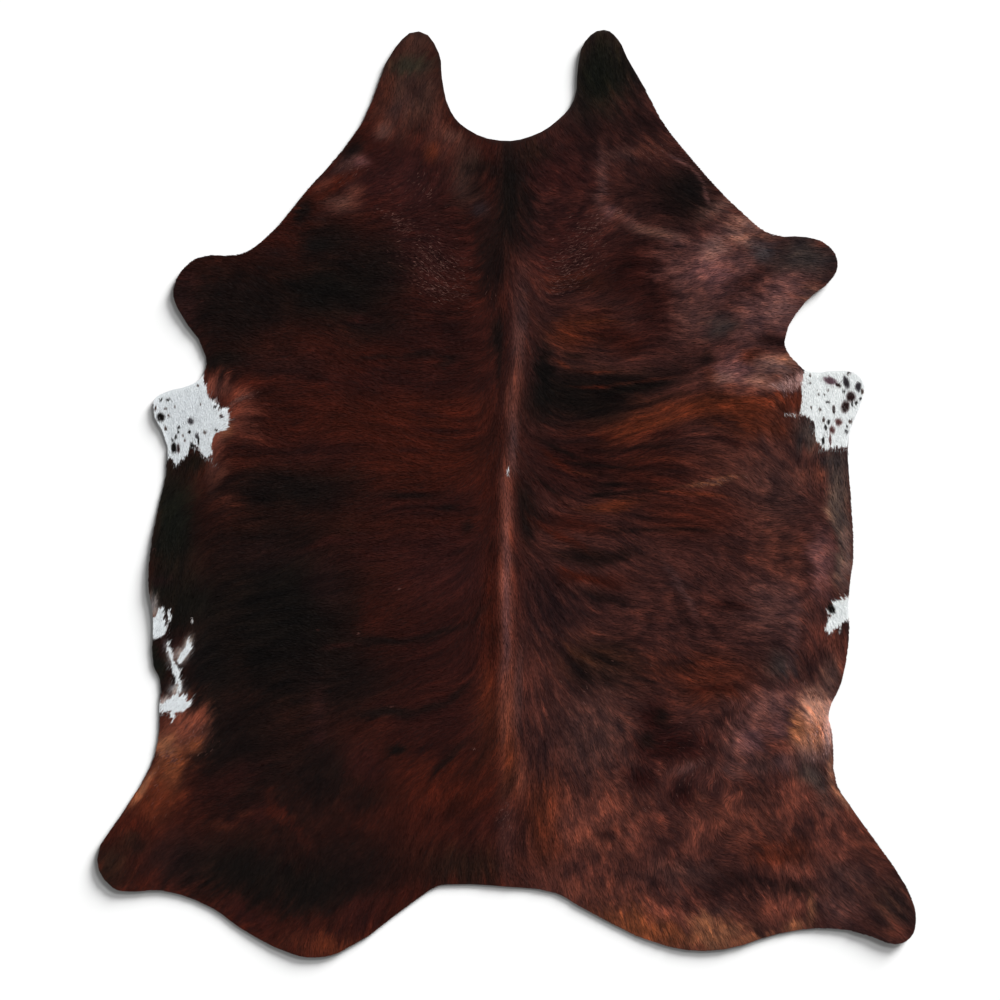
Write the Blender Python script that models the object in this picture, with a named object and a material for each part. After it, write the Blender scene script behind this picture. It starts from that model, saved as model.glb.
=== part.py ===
"""Cowhide rug: one whole cattle hide, tanned with its hair on and trimmed, lying on the floor.

Metres, +Z up. The neck points to +Y and the tail edge to -Y. The origin is the middle of the
rug's plan box, on the surface that it lies on.

The hide is one closed solid. Its flesh side lies flat, apart from the tips of the legs, cheeks
and flaps, which stand a few millimetres off the floor. Its top is the face of the lying coat,
with a low ridge along the backbone, creases on the neck and shoulders, and the fuller hide of
the shoulders and hips.
"""

from math import exp, radians
from typing import NamedTuple

import bmesh
import bpy
from mathutils import Vector
from mathutils.geometry import intersect_point_line

LENGTH = 2.10  # from the cheek tips to the hind edge
LEATHER = 0.0022  # tanned skin, without its hair
SHOULDER_TO_HIP = 0.0035  # depth of the lying coat over most of the hide

EDGE_STEPS = 3  # straight steps from one point of the outline to the next
COAT_GRID = 0.036  # spacing of the cuts across the coat
FLESH_GRID = 0.095  # spacing of the cuts across the flesh side
SNAP = 0.004  # a cut this near to a point passes through it
SMOOTH_UNDER = radians(40)  # faces that meet at less than this are shaded as one surface


class RimRing(NamedTuple):
    """A ring of points inside the trimmed edge, and the depth of coat there."""

    step_in: float  # from the ring before it
    coat: float


class Lift(NamedTuple):
    """A place where the trimmed edge stands off the floor, highest at its middle."""

    place: str
    across: float
    along: float
    reach: float
    height: float


class Crease(NamedTuple):
    """A soft ridge in the hide, drawn from point to point."""

    place: str
    route: tuple
    half_width: float
    height: float


class Swell(NamedTuple):
    """A broad place where the hide and its coat are fuller."""

    place: str
    across: float
    along: float
    half_width: float
    half_length: float
    height: float


# The trimmed edge, clockwise seen from above: (across, along) from the middle of the hide.
OUTLINE = {
    "neck bay": ((-0.126, 0.866), (-0.090, 0.827), (-0.015, 0.800), (0.056, 0.810),
                 (0.117, 0.847), (0.153, 0.892)),
    "right cheek": ((0.162, 0.967), (0.178, 1.024), (0.221, 1.050), (0.253, 1.028),
                    (0.273, 0.988), (0.309, 0.926)),
    "right shoulder": ((0.350, 0.847), (0.405, 0.775), (0.556, 0.616), (0.602, 0.586)),
    "right foreleg": ((0.679, 0.581), (0.724, 0.564), (0.749, 0.528), (0.740, 0.491),
                      (0.679, 0.437)),
    "right armpit": ((0.630, 0.346), (0.640, 0.315), (0.658, 0.296)),
    "right belly flap": ((0.678, 0.279), (0.765, 0.279), (0.793, 0.271), (0.810, 0.246),
                         (0.808, 0.222), (0.776, 0.129)),
    "right flank": ((0.779, 0.002), (0.785, -0.150), (0.779, -0.189), (0.774, -0.263),
                    (0.776, -0.300), (0.758, -0.429)),
    "right stifle": ((0.729, -0.499), (0.738, -0.545), (0.747, -0.658), (0.770, -0.694)),
    "right hind leg": ((0.836, -0.788), (0.897, -0.877), (0.921, -0.930), (0.926, -0.971),
                       (0.914, -1.005), (0.880, -1.019), (0.830, -1.003), (0.747, -0.984)),
    "right of the tail": ((0.618, -0.996), (0.491, -1.032), (0.366, -1.025), (0.171, -0.937)),
    "tail edge": ((0.114, -0.905), (0.001, -0.890), (-0.128, -0.885), (-0.155, -0.888)),
    "left of the tail": ((-0.198, -0.914), (-0.380, -1.039), (-0.434, -1.050),
                         (-0.482, -1.043), (-0.606, -0.981)),
    "left hind leg": ((-0.665, -0.939), (-0.781, -0.898), (-0.860, -0.900), (-0.892, -0.891),
                      (-0.926, -0.828), (-0.874, -0.730), (-0.806, -0.619)),
    "left stifle": ((-0.789, -0.560), (-0.785, -0.477), (-0.784, -0.422)),
    "left flank": ((-0.799, -0.388), (-0.799, -0.279), (-0.810, -0.202), (-0.801, -0.096),
                   (-0.767, 0.108)),
    "left belly flap": ((-0.799, 0.210), (-0.770, 0.231), (-0.717, 0.246)),
    "left armpit": ((-0.688, 0.267), (-0.680, 0.310)),
    "left foreleg": ((-0.745, 0.421), (-0.754, 0.462), (-0.717, 0.523), (-0.677, 0.539),
                     (-0.606, 0.541)),
    "left shoulder": ((-0.554, 0.571), (-0.454, 0.684), (-0.332, 0.831)),
    "left cheek": ((-0.303, 0.892), (-0.252, 1.010), (-0.198, 1.047), (-0.153, 0.998),
                   (-0.146, 0.942)),
}

# The coat thins over the last centimetres, so that the rim is soft and not a cut block.
COAT_RINGS = (
    RimRing(step_in=0.000, coat=0.0010),
    RimRing(step_in=0.003, coat=0.0022),
    RimRing(step_in=0.006, coat=0.0031),
    RimRing(step_in=0.010, coat=SHOULDER_TO_HIP),
)
FLESH_RINGS = (RimRing(step_in=0.020, coat=0.0),)

LIFTS = (
    Lift("left cheek", -0.20, 1.05, 0.20, 0.004),
    Lift("right cheek", 0.22, 1.06, 0.24, 0.007),
    Lift("right foreleg", 0.76, 0.54, 0.24, 0.009),
    Lift("right belly flap", 0.82, 0.25, 0.15, 0.005),
    Lift("right flank", 0.80, -0.26, 0.20, 0.006),
    Lift("right hind leg", 0.93, -0.98, 0.28, 0.010),
    Lift("right of the tail", 0.48, -1.04, 0.18, 0.004),
    Lift("left of the tail", -0.44, -1.06, 0.20, 0.005),
    Lift("left hind leg", -0.93, -0.86, 0.25, 0.007),
    Lift("left flank", -0.82, -0.22, 0.22, 0.008),
    Lift("left belly flap", -0.81, 0.20, 0.14, 0.005),
    Lift("left foreleg", -0.77, 0.46, 0.22, 0.006),
)

CREASES = (
    Crease("backbone", ((-0.015, 0.760), (0.003, 0.552), (0.019, 0.439), (0.001, 0.212),
                        (-0.001, 0.054), (-0.003, -0.241), (0.003, -0.467), (0.012, -0.626),
                        (0.003, -0.850)), 0.034, 0.0026),
    Crease("right neck, upper", ((0.348, 0.756), (0.415, 0.715), (0.461, 0.654)), 0.028, 0.0030),
    Crease("right neck, lower", ((0.302, 0.597), (0.400, 0.615), (0.495, 0.665)), 0.030, 0.0026),
    Crease("left neck", ((-0.400, 0.680), (-0.330, 0.745), (-0.290, 0.830)), 0.030, 0.0020),
    Crease("right shoulder", ((0.360, 0.500), (0.480, 0.455), (0.610, 0.470)), 0.036, 0.0018),
    Crease("right hip", ((0.330, -0.470), (0.430, -0.560), (0.480, -0.700)), 0.040, 0.0016),
)

SWELLS = (
    Swell("nape", -0.01, 0.66, 0.16, 0.14, 0.0012),
    Swell("left shoulder", -0.40, 0.42, 0.18, 0.22, 0.0014),
    Swell("right shoulder", 0.42, 0.44, 0.18, 0.20, 0.0016),
    Swell("left hip", -0.42, -0.62, 0.20, 0.22, 0.0014),
    Swell("right hip", 0.44, -0.64, 0.20, 0.22, 0.0016),
)


def clear_scene():
    """Removes every object that the new file came with."""
    for thing in list(bpy.data.objects):
        bpy.data.objects.remove(thing)


def trimmed_edge():
    """The outline as a closed ring of points, in the middle of the plane and LENGTH long."""
    knots = [knot for stretch in OUTLINE.values() for knot in stretch]
    curve = bpy.data.curves.new("trimmed_edge", "CURVE")
    curve.dimensions = "2D"
    curve.fill_mode = "NONE"
    curve.resolution_u = EDGE_STEPS
    spline = curve.splines.new("BEZIER")
    spline.bezier_points.add(len(knots) - 1)
    spline.use_cyclic_u = True
    for point, (across, along) in zip(spline.bezier_points, knots):
        point.co = (across, along, 0)
        point.handle_left_type = "AUTO"
        point.handle_right_type = "AUTO"
    guide = bpy.data.objects.new("trimmed_edge", curve)
    bpy.context.scene.collection.objects.link(guide)
    graph = bpy.context.evaluated_depsgraph_get()
    drawn = bpy.data.meshes.new_from_object(guide.evaluated_get(graph))
    points = [vertex.co.copy() for vertex in drawn.vertices]
    bpy.data.objects.remove(guide)
    bpy.data.meshes.remove(drawn)
    low = Vector(min(point[axis] for point in points) for axis in range(3))
    high = Vector(max(point[axis] for point in points) for axis in range(3))
    scale = LENGTH / (high.y - low.y)
    return [(point - (low + high) / 2) * scale for point in points]


def stand_off(point):
    """How far the flesh side stands off the floor at a point."""
    most = 0.0
    for lift in LIFTS:
        away = (Vector((lift.across, lift.along)) - point.xy).length
        near = max(1 - away / lift.reach, 0)
        most = max(most, lift.height * near * near * (3 - 2 * near))
    return most


def distance_to_route(point, route):
    """The plan distance from a point to a drawn line."""
    nearest = float("inf")
    for start, end in zip(route, route[1:]):
        foot, share = intersect_point_line(point.xy, Vector(start), Vector(end))
        share = min(max(share, 0), 1)
        foot = Vector(start).lerp(Vector(end), share)
        nearest = min(nearest, (foot - point.xy).length)
    return nearest


def relief(point):
    """How far the coat's face rises over its usual depth at a point."""
    rise = 0.0
    for crease in CREASES:
        away = distance_to_route(point, crease.route) / crease.half_width
        rise += crease.height * exp(-away * away)
    for swell in SWELLS:
        across = (point.x - swell.across) / swell.half_width
        along = (point.y - swell.along) / swell.half_length
        rise += swell.height * exp(-across * across - along * along)
    return rise


def lay_rings(bm, face, rings):
    """Lays rings of faces inside a face's edge. Returns the depth of coat at each ring point."""
    coat = {}
    for ring in rings:
        if ring.step_in:
            bmesh.ops.inset_region(bm, faces=[face], thickness=ring.step_in,
                                   use_boundary=True, use_even_offset=True)
        coat.update(dict.fromkeys(face.verts, ring.coat))
    return coat


def cut_in_squares(bm, face, spacing):
    """Cuts a flat face into squares by two sets of evenly spaced planes."""
    patch = [face]
    for axis in range(2):
        places = [corner.co[axis] for part in patch for corner in part.verts]
        first = int(min(places) / spacing) - 1
        last = int(max(places) / spacing) + 1
        direction = Vector((axis == 0, axis == 1, 0))
        for line in range(first, last + 1):
            edges = {edge for part in patch for edge in part.edges}
            corners = {corner for part in patch for corner in part.verts}
            cut = bmesh.ops.bisect_plane(bm, geom=[*patch, *edges, *corners], dist=SNAP,
                                         plane_co=direction * spacing * (line + 0.5),
                                         plane_no=direction)
            patch = [part for part in cut["geom"] if isinstance(part, bmesh.types.BMFace)]


def hide_mesh():
    """The whole hide as one closed mesh: flesh side, trimmed rim and coat."""
    bm = bmesh.new()
    flesh = bm.faces.new([bm.verts.new(point) for point in trimmed_edge()])
    pulled_up = bmesh.ops.extrude_face_region(bm, geom=[flesh], use_keep_orig=True)["geom"]
    coat = next(part for part in pulled_up if isinstance(part, bmesh.types.BMFace))
    bmesh.ops.translate(bm, verts=coat.verts, vec=(0, 0, LEATHER))

    rim_coat = lay_rings(bm, coat, COAT_RINGS)
    lay_rings(bm, flesh, FLESH_RINGS)
    cut_in_squares(bm, coat, COAT_GRID)
    cut_in_squares(bm, flesh, FLESH_GRID)

    for vertex in bm.verts:
        on_coat = vertex.co.z > LEATHER / 2
        height = stand_off(vertex.co)
        if on_coat:
            depth = rim_coat.get(vertex, SHOULDER_TO_HIP)
            height += LEATHER + depth + relief(vertex.co) * depth / SHOULDER_TO_HIP
        vertex.co.z = height
    bmesh.ops.triangulate(bm, faces=bm.faces, quad_method="BEAUTY", ngon_method="BEAUTY")
    bmesh.ops.recalc_face_normals(bm, faces=bm.faces)
    mesh = bpy.data.meshes.new("hide")
    bm.to_mesh(mesh)
    bm.free()
    mesh.shade_smooth()
    mesh.set_sharp_from_angle(angle=SMOOTH_UNDER)
    return mesh


def coat_material():
    """Dark red-brown hair, a little glossy where it lies flat."""
    material = bpy.data.materials.new("brindle_coat")
    material.use_nodes = True
    shader = material.node_tree.nodes["Principled BSDF"]
    shader.inputs["Base Color"].default_value = (0.048, 0.014, 0.008, 1)
    shader.inputs["Roughness"].default_value = 0.55
    shader.inputs["Metallic"].default_value = 0.0
    return material


def main():
    """Builds the rug."""
    clear_scene()
    hide = bpy.data.objects.new("hide", hide_mesh())
    hide.data.materials.append(coat_material())
    bpy.context.scene.collection.objects.link(hide)


main()
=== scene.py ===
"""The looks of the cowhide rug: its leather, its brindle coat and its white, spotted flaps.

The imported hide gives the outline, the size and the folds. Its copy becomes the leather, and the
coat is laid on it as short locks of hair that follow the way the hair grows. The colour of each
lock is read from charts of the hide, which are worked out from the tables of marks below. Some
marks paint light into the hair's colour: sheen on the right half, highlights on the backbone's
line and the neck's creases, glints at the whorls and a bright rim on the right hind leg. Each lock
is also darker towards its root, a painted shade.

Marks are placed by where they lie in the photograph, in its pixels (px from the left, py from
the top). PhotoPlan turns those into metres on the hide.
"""

import logging
from dataclasses import dataclass, field
from enum import Enum
from functools import cached_property
from math import radians
from typing import NamedTuple

import bmesh
import bpy
import numpy as np
from mathutils import Matrix, Vector
from mathutils.bvhtree import BVHTree


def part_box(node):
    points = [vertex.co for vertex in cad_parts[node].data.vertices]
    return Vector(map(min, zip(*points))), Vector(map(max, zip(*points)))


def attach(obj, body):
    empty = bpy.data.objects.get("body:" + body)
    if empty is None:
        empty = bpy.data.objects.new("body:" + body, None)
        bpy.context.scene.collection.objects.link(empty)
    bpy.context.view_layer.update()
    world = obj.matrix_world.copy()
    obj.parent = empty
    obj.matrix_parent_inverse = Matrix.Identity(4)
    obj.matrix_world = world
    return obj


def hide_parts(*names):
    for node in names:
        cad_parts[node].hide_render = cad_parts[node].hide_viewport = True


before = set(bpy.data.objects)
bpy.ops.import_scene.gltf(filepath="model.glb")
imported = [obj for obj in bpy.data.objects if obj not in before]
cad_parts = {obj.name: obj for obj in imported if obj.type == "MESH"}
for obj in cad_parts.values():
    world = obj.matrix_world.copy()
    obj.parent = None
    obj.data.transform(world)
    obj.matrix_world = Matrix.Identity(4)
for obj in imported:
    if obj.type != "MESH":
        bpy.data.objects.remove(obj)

LOG = logging.getLogger("cowhide_rug")

Layer = np.ndarray


class Shade(Enum):
    """The colours of hair on this hide, as seen on screen; some also paint sheen and highlights."""

    BLACK = "0f0c0b"
    INK = "110f0f"
    GREEN_BLACK = "11120e"
    SLATE = "322e32"
    GREY = "342c2b"
    SOOT = "140d0c"
    UMBER = "231312"
    OXBLOOD = "240f0e"
    PLUM = "241414"
    BISTRE = "241611"
    MAROON = "27110f"
    WINE = "2b1413"
    MAHOGANY = "30130e"
    CHESTNUT = "37150e"
    RUSSET = "421e15"
    RUST = "4c2215"
    AMBER = "582818"
    SALMON = "69382b"
    CORAL = "6b3a2f"
    CLAY = "512c24"
    TAUPE = "3a201d"
    DUN = "382520"
    STONE = "463a36"
    ASH = "402926"
    MAUVE = "4e322f"
    ROSE = "583a38"
    PINK = "654140"
    BLUSH = "7a5850"
    FAWN = "5e4038"
    COPPER = "683823"
    OLIVE = "28261e"
    TAN = "82523a"
    PEACH = "a06a52"
    SAND = "bc8a76"
    PEARL = "b48e88"
    LILAC = "5a444c"
    WHITE = "eef1f1"

    @property
    def colour(self) -> np.ndarray:
        """Red, green and blue as seen on screen, from 0 to 1."""
        return np.array([int(self.value[place : place + 2], 16) / 255 for place in (0, 2, 4)])


class Mark(NamedTuple):
    """A soft patch or streak of one shade. turn is anticlockwise from straight across."""

    px: float
    py: float
    half_length: float
    half_width: float
    turn: float
    shade: Shade
    strength: float = 1.0


class Spot(NamedTuple):
    """A small dark spot in white hair."""

    px: float
    py: float
    across: float
    along: float
    turn: float = 0.0
    shade: Shade = Shade.BLACK


class Lie(NamedTuple):
    """How the hair lies at a place on the right half, and on the left half's mirrored place.

    out is how far from the backbone, and turn is 0 for hair that points to the tail and 90 for
    hair that points straight away from the backbone. left is the left half's turn, where it
    differs.
    """

    out: float
    py: float
    turn: float
    left: float | None = None


class Round(NamedTuple):
    """A round part of the hide."""

    px: float
    py: float
    radius: float


class Sparkle(NamedTuple):
    """A place where pale hairs lie over the coat. Most blush ones are glints, a painted highlight
    of the hair's sheen at whorls; the white and pearl ones are pale hairs of the hide.

    hairs is how many there are, shade is the colour of the palest, and the higher dimness is, the
    fewer come near to it.
    """

    px: float
    py: float
    half_length: float
    half_width: float
    turn: float
    hairs: int
    shade: Shade = Shade.BLUSH
    dimness: float = 3.0


# The backbone, from the neck bay to the tail edge.
BACKBONE = ((500, 141), (503, 200), (510, 260), (517, 300), (514, 345), (507, 400), (506, 470),
            (505, 600), (508, 700), (512, 770), (507, 830), (507, 887))

LIES = (
    Lie(18, 150, 15), Lie(60, 165, 40), Lie(95, 50, 12), Lie(95, 110, 24), Lie(150, 160, 55),
    Lie(16, 220, 30), Lie(55, 215, 95), Lie(70, 260, 112), Lie(120, 225, 95), Lie(190, 210, 70),
    Lie(14, 290, 22), Lie(50, 295, 105), Lie(130, 290, 92), Lie(210, 270, 88), Lie(300, 265, 96),
    Lie(330, 262, 100), Lie(14, 350, 14), Lie(36, 350, 66, 82), Lie(70, 350, 84, 85),
    Lie(120, 360, 92), Lie(200, 360, 100, 92), Lie(270, 350, 100, 92), Lie(14, 420, 12),
    Lie(36, 430, 62, 84), Lie(65, 440, 84, 88), Lie(110, 430, 98, 92), Lie(170, 405, 106, 90),
    Lie(220, 420, 80, 88), Lie(270, 440, 64, 75), Lie(300, 380, 30, 20), Lie(325, 400, 6),
    Lie(305, 445, 4), Lie(335, 440, 2), Lie(12, 510, 12), Lie(32, 510, 42, 78),
    Lie(60, 520, 66, 88), Lie(100, 520, 84, 92), Lie(180, 520, 80, 92), Lie(250, 520, 74, 96),
    Lie(300, 520, 55, 60), Lie(335, 530, 20), Lie(12, 600, 10), Lie(30, 600, 26, 38),
    Lie(60, 600, 45, 62), Lie(110, 620, 70, 84), Lie(190, 620, 74, 88), Lie(270, 620, 64),
    Lie(330, 610, 20), Lie(12, 690, 8), Lie(35, 690, 22, 40), Lie(75, 690, 36, 66),
    Lie(130, 700, 60, 84), Lie(200, 690, 76), Lie(270, 700, 56), Lie(320, 700, 20),
    Lie(20, 760, 10, 28), Lie(60, 760, 26, 46), Lie(110, 760, 38, 58), Lie(30, 830, 8),
    Lie(90, 830, 20), Lie(140, 790, 36), Lie(210, 790, 48), Lie(290, 780, 44, 56),
    Lie(340, 800, 38), Lie(30, 880, 4), Lie(90, 890, 12), Lie(170, 900, 22), Lie(250, 880, 36),
    Lie(340, 870, 48), Lie(390, 900, 54),
)

MARKS = (
    # The left half of the neck and shoulder.
    Mark(412, 92, 44, 36, 90, Shade.DUN), Mark(418, 42, 20, 14, 0, Shade.DUN, 0.8),
    Mark(411, 65, 25, 9, 5, Shade.OLIVE, 0.85), Mark(396, 112, 16, 18, 0, Shade.ASH, 0.6),
    Mark(384, 100, 24, 8, 75, Shade.RUSSET, 0.5), Mark(384, 133, 10, 8, 30, Shade.FAWN, 0.8),
    Mark(434, 128, 24, 9, 80, Shade.CLAY, 0.9), Mark(452, 137, 13, 9, -30, Shade.FAWN, 0.65),
    Mark(414, 90, 10, 13, 0, Shade.UMBER, 0.45), Mark(400, 180, 62, 40, 0, Shade.WINE),
    Mark(446, 150, 16, 12, 0, Shade.CLAY, 0.6), Mark(431, 153, 8, 10, 0, Shade.RUST, 0.8),
    Mark(352, 150, 14, 8, 50, Shade.SOOT, 0.9), Mark(346, 165, 15, 8, 45, Shade.ASH, 0.85),
    Mark(361, 161, 9, 6, 0, Shade.PINK, 0.75), Mark(332, 190, 23, 10, 40, Shade.CHESTNUT, 0.9),
    Mark(356, 190, 9, 9, 0, Shade.CLAY, 0.9), Mark(324, 185, 14, 7, 45, Shade.CLAY, 0.6),
    Mark(341, 205, 16, 10, 10, Shade.FAWN, 0.65), Mark(356, 208, 8, 7, 0, Shade.CLAY, 0.7),
    Mark(325, 216, 14, 7, 40, Shade.TAUPE, 0.5), Mark(304, 212, 13, 8, 50, Shade.SOOT),
    Mark(464, 175, 14, 34, 0, Shade.DUN, 0.9), Mark(490, 252, 15, 46, 0, Shade.SOOT, 0.85),
    Mark(480, 168, 18, 9, 0, Shade.BLACK, 0.6), Mark(477, 188, 9, 13, 0, Shade.SOOT, 0.6),
    Mark(481, 208, 9, 9, 0, Shade.SLATE, 0.5), Mark(330, 240, 36, 20, 0, Shade.SOOT, 0.9),
    Mark(318, 246, 17, 8, 0, Shade.INK, 0.8), Mark(425, 250, 48, 52, 0, Shade.WINE, 0.9),
    Mark(375, 268, 34, 34, 0, Shade.SOOT, 0.85), Mark(235, 305, 68, 50, 0, Shade.SOOT),
    Mark(275, 253, 14, 6, 0, Shade.UMBER, 0.8), Mark(186, 298, 13, 32, 10, Shade.UMBER, 0.9),
    Mark(330, 290, 62, 36, 0, Shade.BLACK), Mark(375, 328, 40, 18, 5, Shade.SOOT, 0.95),
    Mark(361, 320, 17, 7, 0, Shade.MAROON, 0.7), Mark(445, 340, 56, 34, 0, Shade.MAROON, 0.9),
    Mark(222, 362, 30, 13, 0, Shade.BLACK, 0.9), Mark(285, 366, 44, 14, 0, Shade.UMBER, 0.7),
    Mark(402, 384, 112, 17, 0, Shade.MAROON, 0.9),
    # The left ribs.
    Mark(222, 386, 14, 12, -30, Shade.CLAY, 0.95), Mark(209, 388, 8, 10, 0, Shade.CORAL, 0.9),
    Mark(245, 396, 13, 5, 18, Shade.CLAY, 0.8), Mark(246, 420, 20, 22, 0, Shade.CORAL, 0.85),
    Mark(241, 400, 12, 1.4, 24, Shade.FAWN, 0.8), Mark(305, 420, 56, 26, 0, Shade.MAHOGANY),
    Mark(402, 422, 92, 24, 0, Shade.CHESTNUT), Mark(422, 464, 72, 24, 0, Shade.CHESTNUT),
    Mark(308, 452, 55, 15, 0, Shade.MAROON, 0.9), Mark(217, 470, 10, 32, 5, Shade.CLAY, 0.9),
    Mark(219, 438, 9, 12, 0, Shade.CORAL, 0.85), Mark(226, 430, 8, 10, 0, Shade.TAN, 0.5),
    Mark(295, 490, 74, 20, 0, Shade.SOOT), Mark(432, 506, 72, 16, 0, Shade.MAROON, 0.85),
    Mark(488, 488, 14, 26, 0, Shade.MAHOGANY, 0.8), Mark(418, 528, 52, 9, 3, Shade.MAHOGANY, 0.8),
    Mark(172, 524, 27, 74, 0, Shade.GREEN_BLACK), Mark(192, 604, 32, 26, 0, Shade.GREEN_BLACK, 0.9),
    Mark(208, 662, 26, 46, 0, Shade.INK, 0.9), Mark(158, 660, 9, 30, 8, Shade.GREEN_BLACK),
    Mark(180, 675, 12, 20, 0, Shade.SOOT, 0.7), Mark(170, 640, 12, 12, 0, Shade.UMBER, 0.9),
    Mark(160, 584, 14, 12, 0, Shade.GREEN_BLACK, 0.8), Mark(166, 690, 9, 9, 0, Shade.SOOT, 0.9),
    Mark(196, 462, 14, 12, 0, Shade.GREEN_BLACK, 0.7), Mark(160, 580, 13, 6, 0, Shade.UMBER, 0.8),
    Mark(275, 610, 96, 118, 0, Shade.BLACK), Mark(290, 640, 60, 60, 0, Shade.BLACK, 0.6),
    Mark(262, 552, 40, 18, 0, Shade.UMBER, 0.5), Mark(330, 585, 22, 22, 0, Shade.UMBER, 0.6),
    Mark(400, 548, 78, 14, 10, Shade.MAROON, 0.8), Mark(340, 542, 42, 5, 13, Shade.MAROON, 0.8),
    Mark(450, 575, 62, 42, 0, Shade.WINE, 0.8), Mark(375, 618, 14, 28, 0, Shade.MAHOGANY, 0.9),
    Mark(445, 655, 64, 54, 0, Shade.MAROON, 0.9), Mark(492, 620, 13, 92, 0, Shade.CHESTNUT, 0.85),
    Mark(491, 722, 16, 48, 0, Shade.RUST, 0.8),
    # The left hip and leg.
    Mark(285, 790, 95, 75, 0, Shade.SOOT, 0.75), Mark(340, 680, 58, 36, 0, Shade.SOOT, 0.9),
    Mark(318, 718, 10, 30, 0, Shade.UMBER, 0.8), Mark(319, 738, 7, 6, 0, Shade.WINE, 0.8),
    Mark(440, 726, 52, 34, 0, Shade.MAROON, 0.9), Mark(322, 772, 26, 30, 0, Shade.SOOT, 0.8),
    Mark(364, 766, 18, 20, 15, Shade.MAROON, 0.9), Mark(374, 798, 26, 14, 10, Shade.SOOT, 0.85),
    Mark(448, 795, 62, 36, 0, Shade.CHESTNUT), Mark(412, 828, 72, 22, 5, Shade.MAHOGANY, 0.9),
    Mark(236, 745, 40, 50, 0, Shade.SOOT, 0.9), Mark(209, 730, 13, 36, 0, Shade.BLACK),
    Mark(188, 690, 6, 14, 0, Shade.SOOT, 0.8), Mark(186, 728, 24, 22, 0, Shade.SALMON),
    Mark(172, 770, 17, 28, -20, Shade.COPPER), Mark(165, 745, 14, 12, 0, Shade.TAN, 0.9),
    Mark(195, 745, 9, 8, 0, Shade.COPPER, 0.9), Mark(155, 804, 26, 24, -35, Shade.RUST, 0.95),
    Mark(142, 789, 26, 4, 57, Shade.TAN, 0.85), Mark(136, 838, 28, 26, -30, Shade.CHESTNUT, 0.9),
    Mark(112, 866, 20, 22, 0, Shade.BISTRE), Mark(134, 843, 16, 11, 0, Shade.BISTRE, 0.8),
    Mark(176, 862, 36, 28, 0, Shade.UMBER, 0.9), Mark(228, 782, 36, 15, 28, Shade.MAROON, 0.7),
    Mark(226, 824, 16, 8, 0, Shade.RUSSET, 0.9), Mark(256, 814, 30, 12, 0, Shade.MAROON, 0.8),
    Mark(243, 812, 9, 5, 0, Shade.RUSSET, 0.7), Mark(274, 813, 6, 9, 60, Shade.CHESTNUT, 0.8),
    Mark(286, 818, 9, 5, 0, Shade.RUSSET, 0.6), Mark(293, 826, 46, 5, -50, Shade.MAHOGANY, 0.8),
    Mark(238, 872, 66, 32, -5, Shade.BLACK, 0.95), Mark(350, 868, 58, 36, 10, Shade.SOOT, 0.8),
    Mark(304, 890, 58, 28, 0, Shade.BLACK, 0.9), Mark(396, 900, 22, 9, 25, Shade.MAHOGANY, 0.85),
    Mark(316, 945, 48, 13, 0, Shade.RUSSET, 0.9), Mark(332, 945, 19, 10, 0, Shade.AMBER, 0.8),
    Mark(360, 918, 28, 18, 35, Shade.MAROON, 0.8), Mark(245, 915, 26, 10, -30, Shade.MAROON),
    Mark(464, 866, 46, 22, 0, Shade.BISTRE, 0.9), Mark(480, 830, 24, 20, 0, Shade.MAROON, 0.6),
    # The right half of the neck and shoulder.
    # Painted sheen: the grey, mauve, rose, pink and blush marks of the right shoulder.
    Mark(600, 74, 36, 50, 0, Shade.GREEN_BLACK), Mark(590, 136, 54, 22, 0, Shade.UMBER, 0.9),
    Mark(642, 122, 26, 12, -50, Shade.UMBER, 0.8), Mark(560, 175, 48, 30, 0, Shade.WINE, 0.9),
    Mark(520, 192, 15, 50, 0, Shade.SOOT, 0.85), Mark(534, 152, 16, 10, 0, Shade.BISTRE, 0.8),
    Mark(622, 156, 24, 7, 10, Shade.ASH, 0.9), Mark(655, 150, 18, 10, 15, Shade.CLAY, 0.9),
    Mark(716, 209, 22, 8, 25, Shade.BLUSH, 0.8), Mark(570, 245, 36, 48, 0, Shade.WINE, 0.9),
    Mark(632, 272, 40, 34, 0, Shade.MAROON), Mark(676, 239, 16, 7, -10, Shade.ROSE, 0.8),
    Mark(578, 284, 27, 12, 0, Shade.RUSSET, 0.8), Mark(685, 272, 28, 30, 0, Shade.ROSE, 0.7),
    Mark(715, 268, 22, 34, 0, Shade.PINK), Mark(716, 250, 17, 13, 0, Shade.BLUSH, 0.8),
    Mark(744, 234, 26, 11, -25, Shade.BLUSH, 0.8), Mark(749, 221, 17, 6, -20, Shade.BLUSH, 0.85),
    Mark(772, 232, 14, 7, 0, Shade.FAWN, 0.8), Mark(760, 250, 14, 12, 0, Shade.SLATE, 0.95),
    Mark(803, 258, 36, 19, -5, Shade.GREY), Mark(788, 285, 28, 15, 15, Shade.ROSE, 0.95),
    Mark(812, 294, 13, 9, 25, Shade.FAWN, 0.9), Mark(742, 264, 12, 14, 0, Shade.ROSE, 0.8),
    Mark(750, 286, 11, 12, 0, Shade.PLUM, 0.85), Mark(780, 312, 26, 26, 0, Shade.PINK, 0.8),
    Mark(780, 312, 20, 20, 0, Shade.BLUSH, 0.4), Mark(750, 326, 16, 28, 0, Shade.ROSE, 0.9),
    Mark(696, 318, 30, 22, 0, Shade.MAUVE, 0.9), Mark(720, 327, 16, 12, 30, Shade.GREY, 0.85),
    Mark(770, 342, 18, 5, 0, Shade.UMBER), Mark(582, 330, 32, 20, 0, Shade.RUSSET),
    Mark(566, 336, 14, 14, 0, Shade.RUST, 0.7), Mark(622, 340, 28, 12, 0, Shade.MAHOGANY, 0.85),
    Mark(655, 312, 20, 32, 0, Shade.MAROON, 0.85), Mark(544, 382, 12, 42, 0, Shade.BLACK),
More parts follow.
